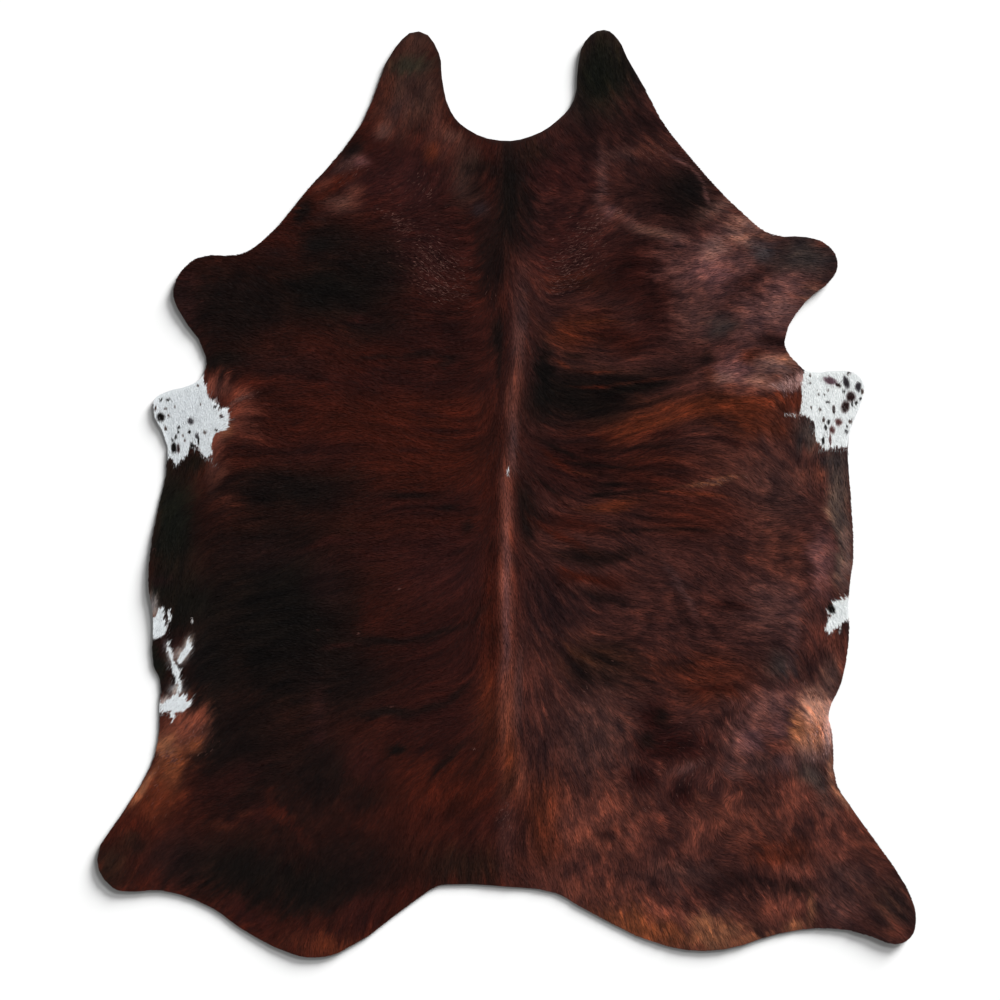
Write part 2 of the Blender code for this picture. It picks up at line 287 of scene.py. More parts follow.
    Mark(582, 400, 56, 34, 0, Shade.BLACK), Mark(655, 378, 44, 14, 12, Shade.SOOT, 0.6),
    Mark(622, 388, 40, 14, 8, Shade.SOOT, 0.9), Mark(733, 372, 22, 21, 0, Shade.PINK),
    Mark(711, 376, 7, 12, 0, Shade.RUSSET, 0.8), Mark(724, 380, 14, 10, 0, Shade.BLUSH, 0.7),
    Mark(752, 356, 11, 7, 0, Shade.RUSSET, 0.9), Mark(776, 366, 22, 10, 0, Shade.BLUSH, 0.9),
    Mark(757, 381, 14, 8, 0, Shade.BLUSH, 0.8), Mark(791, 360, 9, 7, 0, Shade.PEACH, 0.5),
    Mark(706, 357, 10, 7, 40, Shade.SOOT, 0.7),
    # The right ribs.
    # Partly painted sheen: the grey, stone, ash, mauve, pink and blush marks of the right ribs.
    Mark(728, 406, 80, 13, 0, Shade.RUST), Mark(738, 390, 22, 8, 5, Shade.CORAL, 0.9),
    Mark(636, 427, 52, 17, 15, Shade.RUST), Mark(750, 424, 46, 14, -10, Shade.RUST, 0.9),
    Mark(793, 404, 9, 8, 0, Shade.RUSSET, 0.95), Mark(808, 434, 15, 18, 20, Shade.STONE, 0.9),
    Mark(834, 464, 15, 14, 0, Shade.GREY), Mark(812, 475, 16, 12, 0, Shade.CLAY, 0.95),
    Mark(794, 414.5, 8, 1.3, -6, Shade.BLUSH, 0.8), Mark(570, 462, 40, 36, 0, Shade.MAROON, 0.9),
    Mark(650, 468, 62, 32, 0, Shade.MAHOGANY, 0.8), Mark(738, 462, 48, 28, 0, Shade.CLAY, 0.6),
    Mark(714, 481, 28, 3, 10, Shade.TAN, 0.9), Mark(612, 506, 30, 6, 6, Shade.AMBER, 0.9),
    Mark(529, 515, 11, 36, 8, Shade.SOOT), Mark(775, 490, 36, 44, 0, Shade.ASH, 0.75),
    Mark(841, 504, 12, 28, 0, Shade.STONE, 0.95), Mark(836, 480, 10, 12, 0, Shade.GREY, 0.9),
    Mark(690, 515, 60, 24, 0, Shade.CHESTNUT, 0.6), Mark(575, 523, 38, 9, -8, Shade.MAHOGANY, 0.85),
    Mark(597, 555, 46, 8, 0, Shade.SOOT, 0.85), Mark(585, 580, 42, 8, -4, Shade.CHESTNUT, 0.9),
    Mark(544, 602, 18, 46, 0, Shade.PLUM, 0.85), Mark(604, 597, 30, 6, -8, Shade.SOOT, 0.6),
    Mark(622, 618, 24, 14, 0, Shade.TAUPE, 0.8), Mark(664, 588, 26, 36, 0, Shade.TAUPE, 0.85),
    Mark(730, 572, 46, 34, 0, Shade.TAUPE, 0.7), Mark(680, 590, 32, 4, -60, Shade.MAUVE, 0.8),
    Mark(776, 608, 36, 34, 0, Shade.MAUVE, 0.9), Mark(780, 552, 26, 28, 0, Shade.CLAY, 0.6),
    Mark(823, 562, 12, 33, 5, Shade.PINK, 0.95), Mark(842, 548, 8, 42, 0, Shade.STONE),
    Mark(846, 560, 5, 40, 0, Shade.BLUSH, 0.6), Mark(838, 641, 10, 10, 0, Shade.CLAY, 0.8),
    Mark(814, 664, 18, 28, 0, Shade.TAUPE, 0.9), Mark(831, 674, 10, 18, 0, Shade.FAWN),
    Mark(782, 665, 18, 16, 0, Shade.GREY, 0.9), Mark(794, 632, 6, 40, -5, Shade.ROSE, 0.5),
    # The right hip and leg.
    # Painted sheen: the mauve, rose, pink, blush, ash and stone marks of the right hip.
    Mark(600, 665, 44, 27, -8, Shade.BISTRE, 0.95), Mark(700, 672, 54, 20, 0, Shade.RUSSET, 0.8),
    Mark(716, 690, 30, 14, 0, Shade.RUSSET, 0.8), Mark(540, 702, 25, 62, 0, Shade.TAUPE, 0.8),
    Mark(600, 736, 42, 48, 0, Shade.ASH, 0.95), Mark(609, 781, 14, 10, 0, Shade.CORAL, 0.6),
    Mark(742, 738, 24, 20, 20, Shade.MAUVE, 0.9), Mark(750, 738, 13, 14, 0, Shade.PINK, 0.95),
    Mark(770, 705, 34, 18, 5, Shade.ROSE, 0.95), Mark(810, 752, 17, 10, -20, Shade.BLUSH, 0.9),
    Mark(811, 778, 22, 12, -50, Shade.STONE, 0.95), Mark(784, 746, 12, 11, 0, Shade.CORAL, 0.85),
    Mark(778, 729, 10, 10, 0, Shade.PINK, 0.8), Mark(783, 763, 13, 9, 0, Shade.ROSE, 0.85),
    Mark(802, 796, 13, 20, 30, Shade.CORAL, 0.85), Mark(828, 806, 12, 8, -40, Shade.FAWN, 0.8),
    Mark(762, 765, 10, 12, 0, Shade.ASH, 0.9), Mark(760, 795, 14, 9, 0, Shade.CLAY, 0.8),
    Mark(738, 767, 22, 11, 10, Shade.MAUVE, 0.8), Mark(516, 774, 14, 26, 0, Shade.SALMON, 0.9),
    Mark(546, 822, 22, 42, 0, Shade.RUST, 0.9), Mark(560, 842, 9, 14, 0, Shade.RUSSET, 0.9),
    Mark(604, 825, 46, 40, 0, Shade.CLAY), Mark(636, 834, 14, 16, 0, Shade.CORAL, 0.8),
    Mark(590, 815, 30, 20, 0, Shade.CORAL, 0.7), Mark(608, 836, 10, 7, 0, Shade.UMBER, 0.8),
    Mark(660, 858, 22, 28, 0, Shade.TAUPE, 0.9), Mark(690, 830, 13, 25, 0, Shade.CORAL, 0.9),
    Mark(744, 824, 46, 26, 0, Shade.CLAY, 0.9), Mark(778, 856, 34, 16, 0, Shade.RUSSET, 0.9),
    Mark(794, 871, 16, 9, 0, Shade.CORAL, 0.7), Mark(832, 835, 32, 32, -40, Shade.CORAL, 0.7),
    Mark(735, 882, 40, 13, 0, Shade.UMBER), Mark(800, 890, 24, 6, 0, Shade.SOOT, 0.7),
    Mark(600, 890, 48, 22, -20, Shade.CLAY, 0.95), Mark(586, 872, 21, 11, -20, Shade.TAUPE, 0.9),
    Mark(680, 873, 40, 13, 0, Shade.ASH, 0.8), Mark(645, 929, 56, 19, -12, Shade.COPPER, 0.95),
    Mark(674, 911, 36, 13, -6, Shade.CORAL, 0.85), Mark(702, 919, 15, 9, 0, Shade.TAN, 0.9),
    Mark(716, 934, 30, 14, 5, Shade.TAN, 0.95), Mark(748, 942, 36, 4, 14, Shade.TAN, 0.6),
    Mark(724, 910, 18, 6, 0, Shade.ASH, 0.8), Mark(741, 916, 9, 8, 0, Shade.TAUPE, 0.8),
    Mark(772, 912, 40, 17, 0, Shade.CLAY, 0.9), Mark(786, 907, 14, 10, 0, Shade.CORAL, 0.8),
    Mark(795, 926, 11, 6, 5, Shade.TAN, 0.8), Mark(836, 908, 26, 15, -12, Shade.MAUVE, 0.8),
    Mark(845, 880, 30, 22, 0, Shade.ASH), Mark(890, 906, 22, 26, 0, Shade.DUN, 0.9),
    Mark(870, 846, 30, 14, -50, Shade.CLAY), Mark(890, 934, 15, 6, 0, Shade.CLAY, 0.8),
    Mark(810, 910, 4, 16, 0, Shade.TAN, 0.7),
    # Light and dark streaks.
    Mark(563, 364, 10, 2.5, -35, Shade.RUSSET, 0.8), Mark(595, 372, 22, 2, -3, Shade.RUSSET, 0.8),
    Mark(595, 387, 20, 1.8, 0, Shade.CHESTNUT, 0.8),
    Mark(602, 438, 22, 2.5, 2, Shade.CHESTNUT, 0.8),
    Mark(556, 462, 24, 3, -38, Shade.CHESTNUT, 0.9), Mark(585, 474, 18, 2.5, -5, Shade.RUSSET, 0.8),
    Mark(562, 536, 30, 4, -28, Shade.CHESTNUT, 0.8), Mark(340, 646, 18, 3, 8, Shade.MAROON, 0.7),
    Mark(385, 705, 20, 4, 5, Shade.MAROON, 0.7), Mark(576, 356, 12, 3, -5, Shade.SOOT, 0.8),
    Mark(575, 440, 32, 3, 0, Shade.UMBER, 0.8), Mark(560, 450, 26, 3, -25, Shade.SOOT, 0.8),
    Mark(668, 433, 22, 4, 5, Shade.MAROON, 0.8), Mark(668, 471, 26, 4, 0, Shade.UMBER, 0.7),
    Mark(612, 485, 14, 3, 5, Shade.SOOT, 0.8), Mark(600, 495, 13, 3, 8, Shade.SOOT, 0.8),
    Mark(728, 423, 18, 4, -22, Shade.UMBER, 0.8), Mark(730, 441, 22, 4, -12, Shade.MAROON, 0.7),
    Mark(725, 548, 26, 6, -15, Shade.UMBER, 0.7), Mark(732, 607, 22, 5, -5, Shade.MAROON, 0.7),
    Mark(685, 618, 20, 5, -60, Shade.UMBER, 0.7), Mark(714, 630, 11, 5, -45, Shade.UMBER, 0.7),
    Mark(635, 640, 18, 4, -15, Shade.UMBER, 0.8), Mark(680, 662, 22, 3, 5, Shade.UMBER, 0.6),
    Mark(712, 688, 28, 3, 4, Shade.MAHOGANY, 0.7), Mark(728, 715, 20, 4, 28, Shade.UMBER, 0.7),
    Mark(420, 354, 16, 4, 0, Shade.SOOT, 0.7), Mark(380, 358, 22, 3, 3, Shade.SOOT, 0.6),
    Mark(446, 361, 14, 4, 25, Shade.SOOT, 0.7), Mark(425, 414, 20, 3, -8, Shade.MAROON, 0.8),
    Mark(430, 430, 28, 3, -5, Shade.MAROON, 0.8), Mark(412, 452, 14, 3, -4, Shade.MAROON, 0.8),
    Mark(408, 494, 30, 4, 0, Shade.SOOT, 0.7), Mark(448, 508, 10, 4, 0, Shade.SOOT, 0.7),
    Mark(467, 527, 6, 6, 0, Shade.SOOT, 0.7), Mark(495, 336, 8, 16, 0, Shade.BLACK, 0.8),
    Mark(385, 642, 38, 4, 2, Shade.SOOT, 0.85), Mark(440, 634, 26, 4, 18, Shade.SOOT, 0.8),
    Mark(480, 612, 20, 4, 50, Shade.SOOT, 0.4), Mark(385, 715, 32, 6, 3, Shade.SOOT),
    Mark(430, 708, 20, 4, 15, Shade.SOOT, 0.8), Mark(458, 694, 18, 4, 42, Shade.SOOT, 0.7),
    Mark(398, 750, 10, 5, 0, Shade.BLACK, 0.9), Mark(450, 757, 26, 4, 35, Shade.SOOT, 0.7),
    Mark(675, 373, 36, 3, 12, Shade.UMBER, 0.5), Mark(637, 388, 36, 3, 10, Shade.BLACK, 0.85),
    Mark(664, 398, 28, 3, 13, Shade.SOOT, 0.6), Mark(645, 381, 30, 1.6, 10, Shade.RUSSET, 0.6),
    Mark(590, 323, 32, 2, 0, Shade.AMBER, 0.6), Mark(606, 314, 26, 2, 0, Shade.MAROON, 0.7),
    Mark(600, 334, 30, 1.6, -2, Shade.MAROON, 0.7), Mark(652, 424, 44, 2.5, 20, Shade.AMBER, 0.6),
    Mark(700, 404, 40, 2, 4, Shade.AMBER, 0.5), Mark(640, 448, 44, 2.5, 4, Shade.SOOT, 0.5),
    Mark(655, 458, 40, 2, 2, Shade.RUSSET, 0.7), Mark(600, 466, 34, 2, -4, Shade.SOOT, 0.8),
    Mark(640, 492, 44, 2, 6, Shade.SOOT, 0.7), Mark(700, 494, 34, 2, -4, Shade.RUST, 0.6),
    Mark(560, 500, 20, 2.5, -40, Shade.MAROON, 0.7), Mark(548, 486, 22, 2, -42, Shade.SOOT, 0.8),
    Mark(640, 530, 40, 2.5, 0, Shade.SOOT, 0.7), Mark(690, 528, 34, 2, -3, Shade.SOOT, 0.6),
)

# Marks with firmer edges: the backbone's line, the ring on the neck and the dark patches of the hip.
FIRM_MARKS = (
    # Painted highlight: the backbone's pale line, the hair's parting with light along it.
    Mark(508, 195, 60, 11, 90, Shade.BLACK, 0.9), Mark(517, 300, 40, 8, 86, Shade.TAUPE, 0.9),
    Mark(519, 335, 46, 7, 86, Shade.MAUVE, 0.75), Mark(513, 400, 40, 7, 84, Shade.CORAL, 0.8),
    Mark(512, 445, 36, 6, 88, Shade.MAUVE), Mark(499, 350, 40, 3, 90, Shade.SOOT, 0.7),
    Mark(506, 500, 40, 7, 90, Shade.CORAL, 0.9), Mark(506, 560, 60, 7, 90, Shade.CORAL),
    Mark(507, 640, 66, 8, 90, Shade.CORAL), Mark(506, 600, 90, 4, 90, Shade.PINK, 0.6),
    Mark(508, 715, 44, 9, 88, Shade.SALMON), Mark(510, 765, 34, 8, 86, Shade.AMBER, 0.8),
    Mark(507, 840, 44, 9, 90, Shade.TAUPE, 0.9), Mark(522, 330, 60, 4, 86, Shade.ASH, 0.4),
    Mark(519, 690, 50, 5, 88, Shade.MAUVE, 0.6), Mark(658, 193, 50, 33, -8, Shade.UMBER, 0.9),
    Mark(684, 197, 30, 22, -20, Shade.SOOT, 0.85), Mark(694, 188, 22, 18, -35, Shade.INK, 0.65),
    # Painted highlights on the neck's creases: the mauve, pink, fawn and rose arcs round the ring.
    Mark(601, 182, 7, 34, 0, Shade.MAUVE, 0.85), Mark(609, 213, 7, 7, 0, Shade.PINK, 0.85),
    Mark(628, 222, 20, 6, -35, Shade.MAUVE, 0.8), Mark(655, 233, 28, 6, -8, Shade.FAWN, 0.8),
    Mark(680, 161, 16, 1.8, -28, Shade.ROSE, 0.8), Mark(699, 177, 12, 1.8, -52, Shade.ROSE, 0.8),
    Mark(707, 196, 10, 1.8, -76, Shade.ROSE, 0.8), Mark(656, 718, 19, 17, 0, Shade.OXBLOOD),
    Mark(673, 747, 39, 18, 2, Shade.OXBLOOD), Mark(641, 777, 15, 14, 0, Shade.OXBLOOD, 0.95),
    Mark(683, 794, 15, 14, 0, Shade.OXBLOOD, 0.9), Mark(699, 800, 8, 10, 0, Shade.CLAY, 0.8),
    Mark(663, 717, 10, 10, 0, Shade.BLACK, 0.7), Mark(648, 740, 9, 9, 0, Shade.SOOT, 0.8),
    Mark(688, 768, 20, 4, 20, Shade.MAUVE, 0.9), Mark(668, 752, 20, 3, 5, Shade.MAROON, 0.6),
    Mark(672, 843, 20, 30, -25, Shade.TAUPE, 0.6), Mark(817, 710, 16, 23, 5, Shade.SAND),
    Mark(812, 737, 19, 13, 0, Shade.PEACH), Mark(797, 726, 8, 16, 0, Shade.TAN, 0.95),
    # Painted highlight: the pearl and peach streaks along the right hind leg's edge, a bright rim.
    Mark(829, 727, 5, 26, -4, Shade.PEARL, 0.9), Mark(830, 768, 4, 16, 5, Shade.PEACH, 0.9),
    Mark(841, 798, 16, 4, -52, Shade.PEACH, 0.9), Mark(788, 384, 17, 6, 10, Shade.PEARL, 0.85),
    Mark(801, 378, 5, 7, 0, Shade.PEARL, 0.9), Mark(154, 606, 6, 13, 0, Shade.WHITE, 0.42),
    Mark(179, 657, 8, 8, 40, Shade.WHITE, 0.4), Mark(177, 690, 8, 7, 0, Shade.WHITE, 0.5),
    Mark(187, 648, 5, 10, -20, Shade.WHITE, 0.45), Mark(165, 701, 7, 4, 20, Shade.WHITE, 0.5),
    Mark(168, 652, 3, 12, 10, Shade.WHITE, 0.35),
)

# Where the coat is mottled, and where it is combed into fine, long streaks.
MOTTLED = (
    Round(730, 280, 95), Round(800, 560, 70), Round(590, 190, 80), Round(405, 110, 75),
    Round(740, 730, 70), Round(610, 745, 60), Round(640, 860, 110), Round(250, 290, 70),
    Round(740, 360, 50), Round(670, 600, 60), Round(785, 460, 55), Round(800, 850, 90),
    Round(160, 790, 70), Round(320, 840, 90), Round(300, 930, 60),
)
COMBED = (Round(600, 390, 95), Round(620, 490, 105), Round(430, 460, 100), Round(440, 640, 90))

WHITE_PATCHES = {
    "right belly flap": ((806, 355), (804, 372), (802, 378), (801, 388), (802, 398), (801, 408),
                         (799, 413), (807, 416), (813, 421), (815, 430), (816, 441), (820, 446),
                         (826, 449), (836, 447), (848, 449), (890, 455), (890, 355)),
    "left belly flap": ((200, 368), (203, 376), (207, 388), (212, 398), (220, 408), (228, 409),
                        (229, 423), (227, 431), (218, 430), (213, 438), (212, 447), (213, 454),
                        (206, 457), (201, 453), (198, 446), (192, 444), (189, 451), (186, 457),
                        (177, 464), (170, 459), (130, 440), (130, 368)),
    "right flank": ((870, 588), (846, 597), (838, 601), (829, 606), (826, 611), (831, 617),
                    (828, 622), (824, 629), (829, 633), (837, 629), (847, 621), (870, 618)),
    "left flank, upper": ((140, 617), (156, 617), (159, 608), (163, 607), (165, 613), (164, 621),
                          (168, 626), (166, 633), (161, 637), (140, 637)),
    "left flank, streak": ((168, 611), (171, 609), (172.5, 616), (171, 622), (168.5, 620)),
    "left flank, strand": ((166, 642), (169, 643), (173, 654), (176, 666), (181, 676), (182, 684),
                           (181, 692), (176, 693), (178, 686), (175, 680), (172, 667), (169.5, 655)),
    "left flank, branch": ((188, 638), (191, 643), (190.5, 651), (186, 657), (179, 666),
                           (176.5, 662), (180, 655), (185, 648)),
    "left flank, lower": ((140, 712), (140, 704), (163, 703), (170, 698), (176, 694), (184, 696),
                          (190, 703), (189, 708), (181, 711), (175, 713), (173.5, 722),
                          (171, 720), (170, 712)),
}

SPOTS = (
    Spot(830, 381, 14, 7, -20, Shade.LILAC), Spot(838, 386, 6, 4, -30, Shade.PLUM),
    Spot(846, 383, 6, 13, 15, Shade.SLATE), Spot(858, 387, 6, 8, -20, Shade.SLATE),
    Spot(850.5, 397, 9, 10, 0, Shade.PLUM), Spot(845, 407, 8, 12, -12, Shade.PLUM),
    Spot(833.5, 410, 3, 8, 0, Shade.PLUM), Spot(838.5, 422, 7, 7, 0, Shade.ROSE),
    Spot(832, 430, 5.5, 8, 15, Shade.ROSE), Spot(830, 440, 2.5, 12, 0, Shade.ROSE),
    Spot(846, 432, 3.5, 4, 0, Shade.SLATE), Spot(848.5, 373.5, 4, 4, 0, Shade.PLUM),
    Spot(862, 392, 3, 6, 0, Shade.STONE), Spot(856, 403, 3, 4), Spot(860, 399, 3, 3),
    Spot(843.5, 392, 3, 3), Spot(823.5, 420, 3, 5, 0, Shade.STONE), Spot(852, 404, 2, 5),
    Spot(828.5, 422, 2.5, 5), Spot(825.5, 428, 3, 5), Spot(850, 422, 4, 3, 20, Shade.STONE),
    Spot(810, 383, 3, 2, 0, Shade.STONE), Spot(820, 409, 3, 3, 0, Shade.STONE),
    Spot(827.5, 402.5, 5, 2.5), Spot(827.5, 390.5, 3, 2, 0, Shade.STONE), Spot(823, 441, 3, 7),
    Spot(817.5, 390, 2, 2, 0, Shade.STONE), Spot(818, 395, 2.5, 2.5, 0, Shade.STONE),
    Spot(824, 395, 2, 3, 0, Shade.STONE), Spot(811, 407.5, 2, 2.5, 0, Shade.STONE),
    Spot(810, 376, 2.5, 2, 0, Shade.STONE), Spot(847, 427, 2, 3), Spot(831, 609, 7, 10, 30),
    Spot(161, 417.5, 8, 9), Spot(191, 421.5, 6, 6, 0, Shade.SLATE), Spot(174, 448, 5.5, 11),
    Spot(178.5, 449, 3, 10, 0, Shade.PLUM), Spot(197, 436, 4, 6, 0, Shade.SLATE), Spot(198.5, 441, 2, 8),
    Spot(189.5, 432, 3, 3), Spot(179, 428, 3, 3), Spot(178.5, 432.5, 2.5, 3), Spot(176, 437, 3, 4),
    Spot(172.5, 439.5, 3, 3), Spot(166, 428.5, 3, 4, 0, Shade.STONE), Spot(168.5, 400, 5, 2),
    Spot(161.5, 400, 4, 2), Spot(156, 408.5, 2, 4, 0, Shade.STONE), Spot(215, 407, 3, 3),
    Spot(166, 409, 3, 3, 0, Shade.STONE), Spot(175, 406, 2, 3, 0, Shade.STONE),
    Spot(221.5, 416.5, 5, 3, 0, Shade.PLUM), Spot(205, 432.5, 3, 4, 0, Shade.STONE),
    Spot(198, 386, 3, 2, 0, Shade.STONE), Spot(183, 436, 2, 2, 0, Shade.STONE),
    Spot(213, 400, 2, 3), Spot(169, 416, 3, 2, 0, Shade.STONE), Spot(216, 430, 3, 3),
    Spot(185, 440, 2, 3, 0, Shade.STONE), Spot(192, 446, 4, 7), Spot(201, 405, 2, 2, 0, Shade.STONE),
)

# Painted highlights: most blush places are glints of sheen, laid as pale hairs at whorls.
SPARKLES = (
    Sparkle(438, 268, 44, 26, -42, 330), Sparkle(402, 224, 22, 9, -35, 70),
    Sparkle(445, 292, 26, 9, -10, 70), Sparkle(572, 262, 40, 24, 50, 260),
    Sparkle(592, 224, 24, 9, 28, 90), Sparkle(562, 286, 16, 8, 25, 40),
    Sparkle(788, 384, 14, 6, 12, 150, Shade.PEARL, 0.8), Sparkle(173, 757, 14, 7, -30, 60),
    Sparkle(192, 736, 22, 20, 0, 90), Sparkle(818, 728, 12, 26, 0, 110, Shade.PEARL, 1.5),
    Sparkle(814, 694, 16, 5, -10, 60), Sparkle(242, 399, 16, 3, 22, 60),
    Sparkle(714, 481, 28, 3, 12, 70), Sparkle(353, 168, 16, 8, 35, 40),
    Sparkle(654, 153, 20, 10, 12, 50), Sparkle(793, 414, 8, 1.5, -8, 16, Shade.WHITE, 1.0),
    Sparkle(508, 470, 1.2, 5, -10, 16, Shade.WHITE, 0.5), Sparkle(843, 552, 2, 9, 8, 10),
    Sparkle(506, 815, 7, 20, 0, 34), Sparkle(801, 681, 8, 2, 0, 14),
    Sparkle(150, 782, 16, 26, 40, 40), Sparkle(420, 190, 30, 30, 0, 60),
    Sparkle(193, 619, 0.8, 3, 0, 5, Shade.WHITE, 0.5), Sparkle(616, 214, 4, 3, 0, 14),
    Sparkle(548, 188, 1, 1, 0, 4), Sparkle(688, 300, 1.5, 1, 0, 4),
    Sparkle(733, 615, 1, 2, 0, 3), Sparkle(401, 588, 1, 1, 0, 4), Sparkle(360, 633, 1, 1, 0, 3),
    Sparkle(320, 630, 1, 1, 0, 2), Sparkle(475, 748, 1, 1, 0, 4), Sparkle(393, 706, 3, 1, 0, 6),
    Sparkle(155, 548, 1, 1, 0, 2), Sparkle(690, 770, 60, 50, 0, 70),
    Sparkle(600, 700, 60, 60, 0, 60),
)


@dataclass(frozen=True)
class PhotoPlan:
    """Turns a place in the photograph into a place on the hide.

    Attributes:
        middle: the pixel that shows the middle of the hide's plan box.
        pixels: how many pixels the hide is long.
    """

    middle: tuple[float, float] = (506.5, 493.75)
    pixels: float = 926.5

    @cached_property
    def pixel(self) -> float:
        """The size of a pixel on the hide, in metres."""
        low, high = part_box("hide")
        return (high[1] - low[1]) / self.pixels

    def to_hide(self, px: float | Layer, py: float | Layer) -> tuple[float | Layer, ...]:
        """Gives the place on the hide that a pixel shows.

        Args:
            px: pixels from the photograph's left edge.
            py: pixels from its top edge.

        Returns:
            Metres across (to the right) and along (to the neck) from the hide's middle.
        """
        return (px - self.middle[0]) * self.pixel, (self.middle[1] - py) * self.pixel

    def to_photo(self, across: Layer, along: Layer) -> tuple[Layer, Layer]:
        """Gives the pixel that shows a place on the hide.

        Args:
            across: metres to the right of the hide's middle.
            along: metres towards the neck.

        Returns:
            The pixel, from the left and from the top.
        """
        return across / self.pixel + self.middle[0], self.middle[1] - along / self.pixel


@dataclass
class Chart:
    """An even grid over the plan of the hide, on which layers of numbers are worked out.

    Attributes:
        spacing: metres from one cell to the next.
        margin: metres of grid outside the hide.
    """

    spacing: float = 0.0022
    margin: float = 0.03
    low: tuple[float, float] = field(init=False)
    shape: tuple[int, int] = field(init=False)

    def __post_init__(self) -> None:
        """Lays the grid over the hide's box."""
        low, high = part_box("hide")
        self.low = (low[0] - self.margin, low[1] - self.margin)
        size = [high[axis] - low[axis] + 2 * self.margin for axis in (1, 0)]
        self.shape = (int(size[0] / self.spacing) + 1, int(size[1] / self.spacing) + 1)

    def places(self) -> tuple[Layer, Layer]:
        """Gives how far across and along the hide each cell is, in metres."""
        along, across = np.mgrid[0 : self.shape[0], 0 : self.shape[1]].astype(float)
        return self.low[0] + across * self.spacing, self.low[1] + along * self.spacing

    def read(self, layer: Layer, across: Layer, along: Layer) -> Layer:
        """Reads a layer between its cells.

        Args:
            layer: one number for each cell.
            across: metres across, for each place.
            along: metres along, for each place.

        Returns:
            The layer's value at each place.
        """
        column = ((across - self.low[0]) / self.spacing).clip(0, self.shape[1] - 1.001)
        row = ((along - self.low[1]) / self.spacing).clip(0, self.shape[0] - 1.001)
        left, below = column.astype(int), row.astype(int)
        right_share, up_share = column - left, row - below
        lower = layer[below, left] * (1 - right_share) + layer[below, left + 1] * right_share
        upper = layer[below + 1, left] * (1 - right_share) + layer[below + 1, left + 1] * right_share
        return lower * (1 - up_share) + upper * up_share

    def noise(self, seed: int, size: float) -> Layer:
        """Makes smooth random relief, with a mean of 0 and a spread of 1.

        Args:
            seed: which relief it is.
            size: how wide its bumps are, in metres.

        Returns:
            The relief, one number for each cell.
        """
        random = np.random.default_rng(seed).normal(size=self.shape)
        down = np.fft.fftfreq(self.shape[0])[:, None]
        across = np.fft.rfftfreq(self.shape[1])[None]
        blur = np.exp(-2 * (np.pi * size / self.spacing / 2.5) ** 2 * (down**2 + across**2))
        relief = np.fft.irfft2(np.fft.rfft2(random) * blur, self.shape)
        return (relief - relief.mean()) / relief.std()

    def drawn_out(self, layer: Layer, lie: tuple[Layer, Layer], reach: float) -> Layer:
        """Draws a layer out along the hair, so that dots become streaks.

        Args:
            layer: one number for each cell.
            lie: the hair's direction at each cell, across and along.
            reach: how far it is drawn each way, in metres.

        Returns:
            The streaked layer, with a mean of 0 and a spread of 1.
        """
        stride = 1.6
        total = layer.copy()
        for way in (-1, 1):
            row, column = np.mgrid[0 : self.shape[0], 0 : self.shape[1]].astype(np.float32)
            for _ in range(max(int(reach / self.spacing / stride), 1)):
                at = (row.round().astype(int).clip(0, self.shape[0] - 1),
                      column.round().astype(int).clip(0, self.shape[1] - 1))
                column += way * stride * lie[0][at]
                row += way * stride * lie[1][at]
                total += layer[at]
        return (total - total.mean()) / total.std()


@dataclass
class Edge:
    """The trimmed edge of the hide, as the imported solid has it.

    Attributes:
        ring: the edge's points in order, across and along.
        inside: for each cell of the chart, metres to the edge, less than 0 outside it.
    """

    chart: Chart
    ring: np.ndarray = field(init=False)
    inside: Layer = field(init=False)

    def __post_init__(self) -> None:
        """Reads the edge off the solid and measures the chart's cells from it."""
        self.ring = self.read_ring()
        self.inside = self.measured()

    @staticmethod
    def read_ring() -> np.ndarray:
        """Walks round the flesh side's rim.

        Returns:
            One row for each point: across and along.
        """
        bm = merged_copy("hide")
        flesh = [face for face in bm.faces if face.normal.z > -0.5]
        bmesh.ops.delete(bm, geom=flesh, context="FACES")
        first = next(edge for edge in bm.edges if edge.is_boundary)
        points, edge, corner = [], first, first.verts[0]
        while not points or edge is not first:
            points.append(corner.co.xy.to_tuple())
            corner = edge.other_vert(corner)
            edge = next(near for near in corner.link_edges if near.is_boundary and near is not edge)
        bm.free()
        return np.array(points)

    def measured(self) -> Layer:
        """Measures how far each cell is inside the edge.

        Returns:
            Metres to the edge for each cell, less than 0 outside it.
        """
        across, along = self.chart.places()
        far = 0.06
        nearest = np.full(across.shape, far**2)
        within = np.zeros(across.shape, bool)
        for start, end in zip(self.ring, np.roll(self.ring, -1, 0)):
            (ax, ay), (dx, dy) = start, end - start
            low = (np.minimum(start, end) - self.chart.low - far) / self.chart.spacing
            high = (np.maximum(start, end) - self.chart.low + far) / self.chart.spacing
            columns, rows = (slice(max(int(low[axis]), 0), int(high[axis]) + 1) for axis in (0, 1))
            right, up = across[rows, columns] - ax, along[rows, columns] - ay
            share = ((right * dx + up * dy) / (dx * dx + dy * dy)).clip(0, 1)
            away = (right - share * dx) ** 2 + (up - share * dy) ** 2
            nearest[rows, columns] = np.minimum(nearest[rows, columns], away)
            if dy:
                passed = (along[:, :1] > ay) != (along[:, :1] > end[1])
                within ^= passed & (across < ax + (along - ay) * dx / dy)
        return np.sqrt(nearest) * np.where(within, 1, -1)


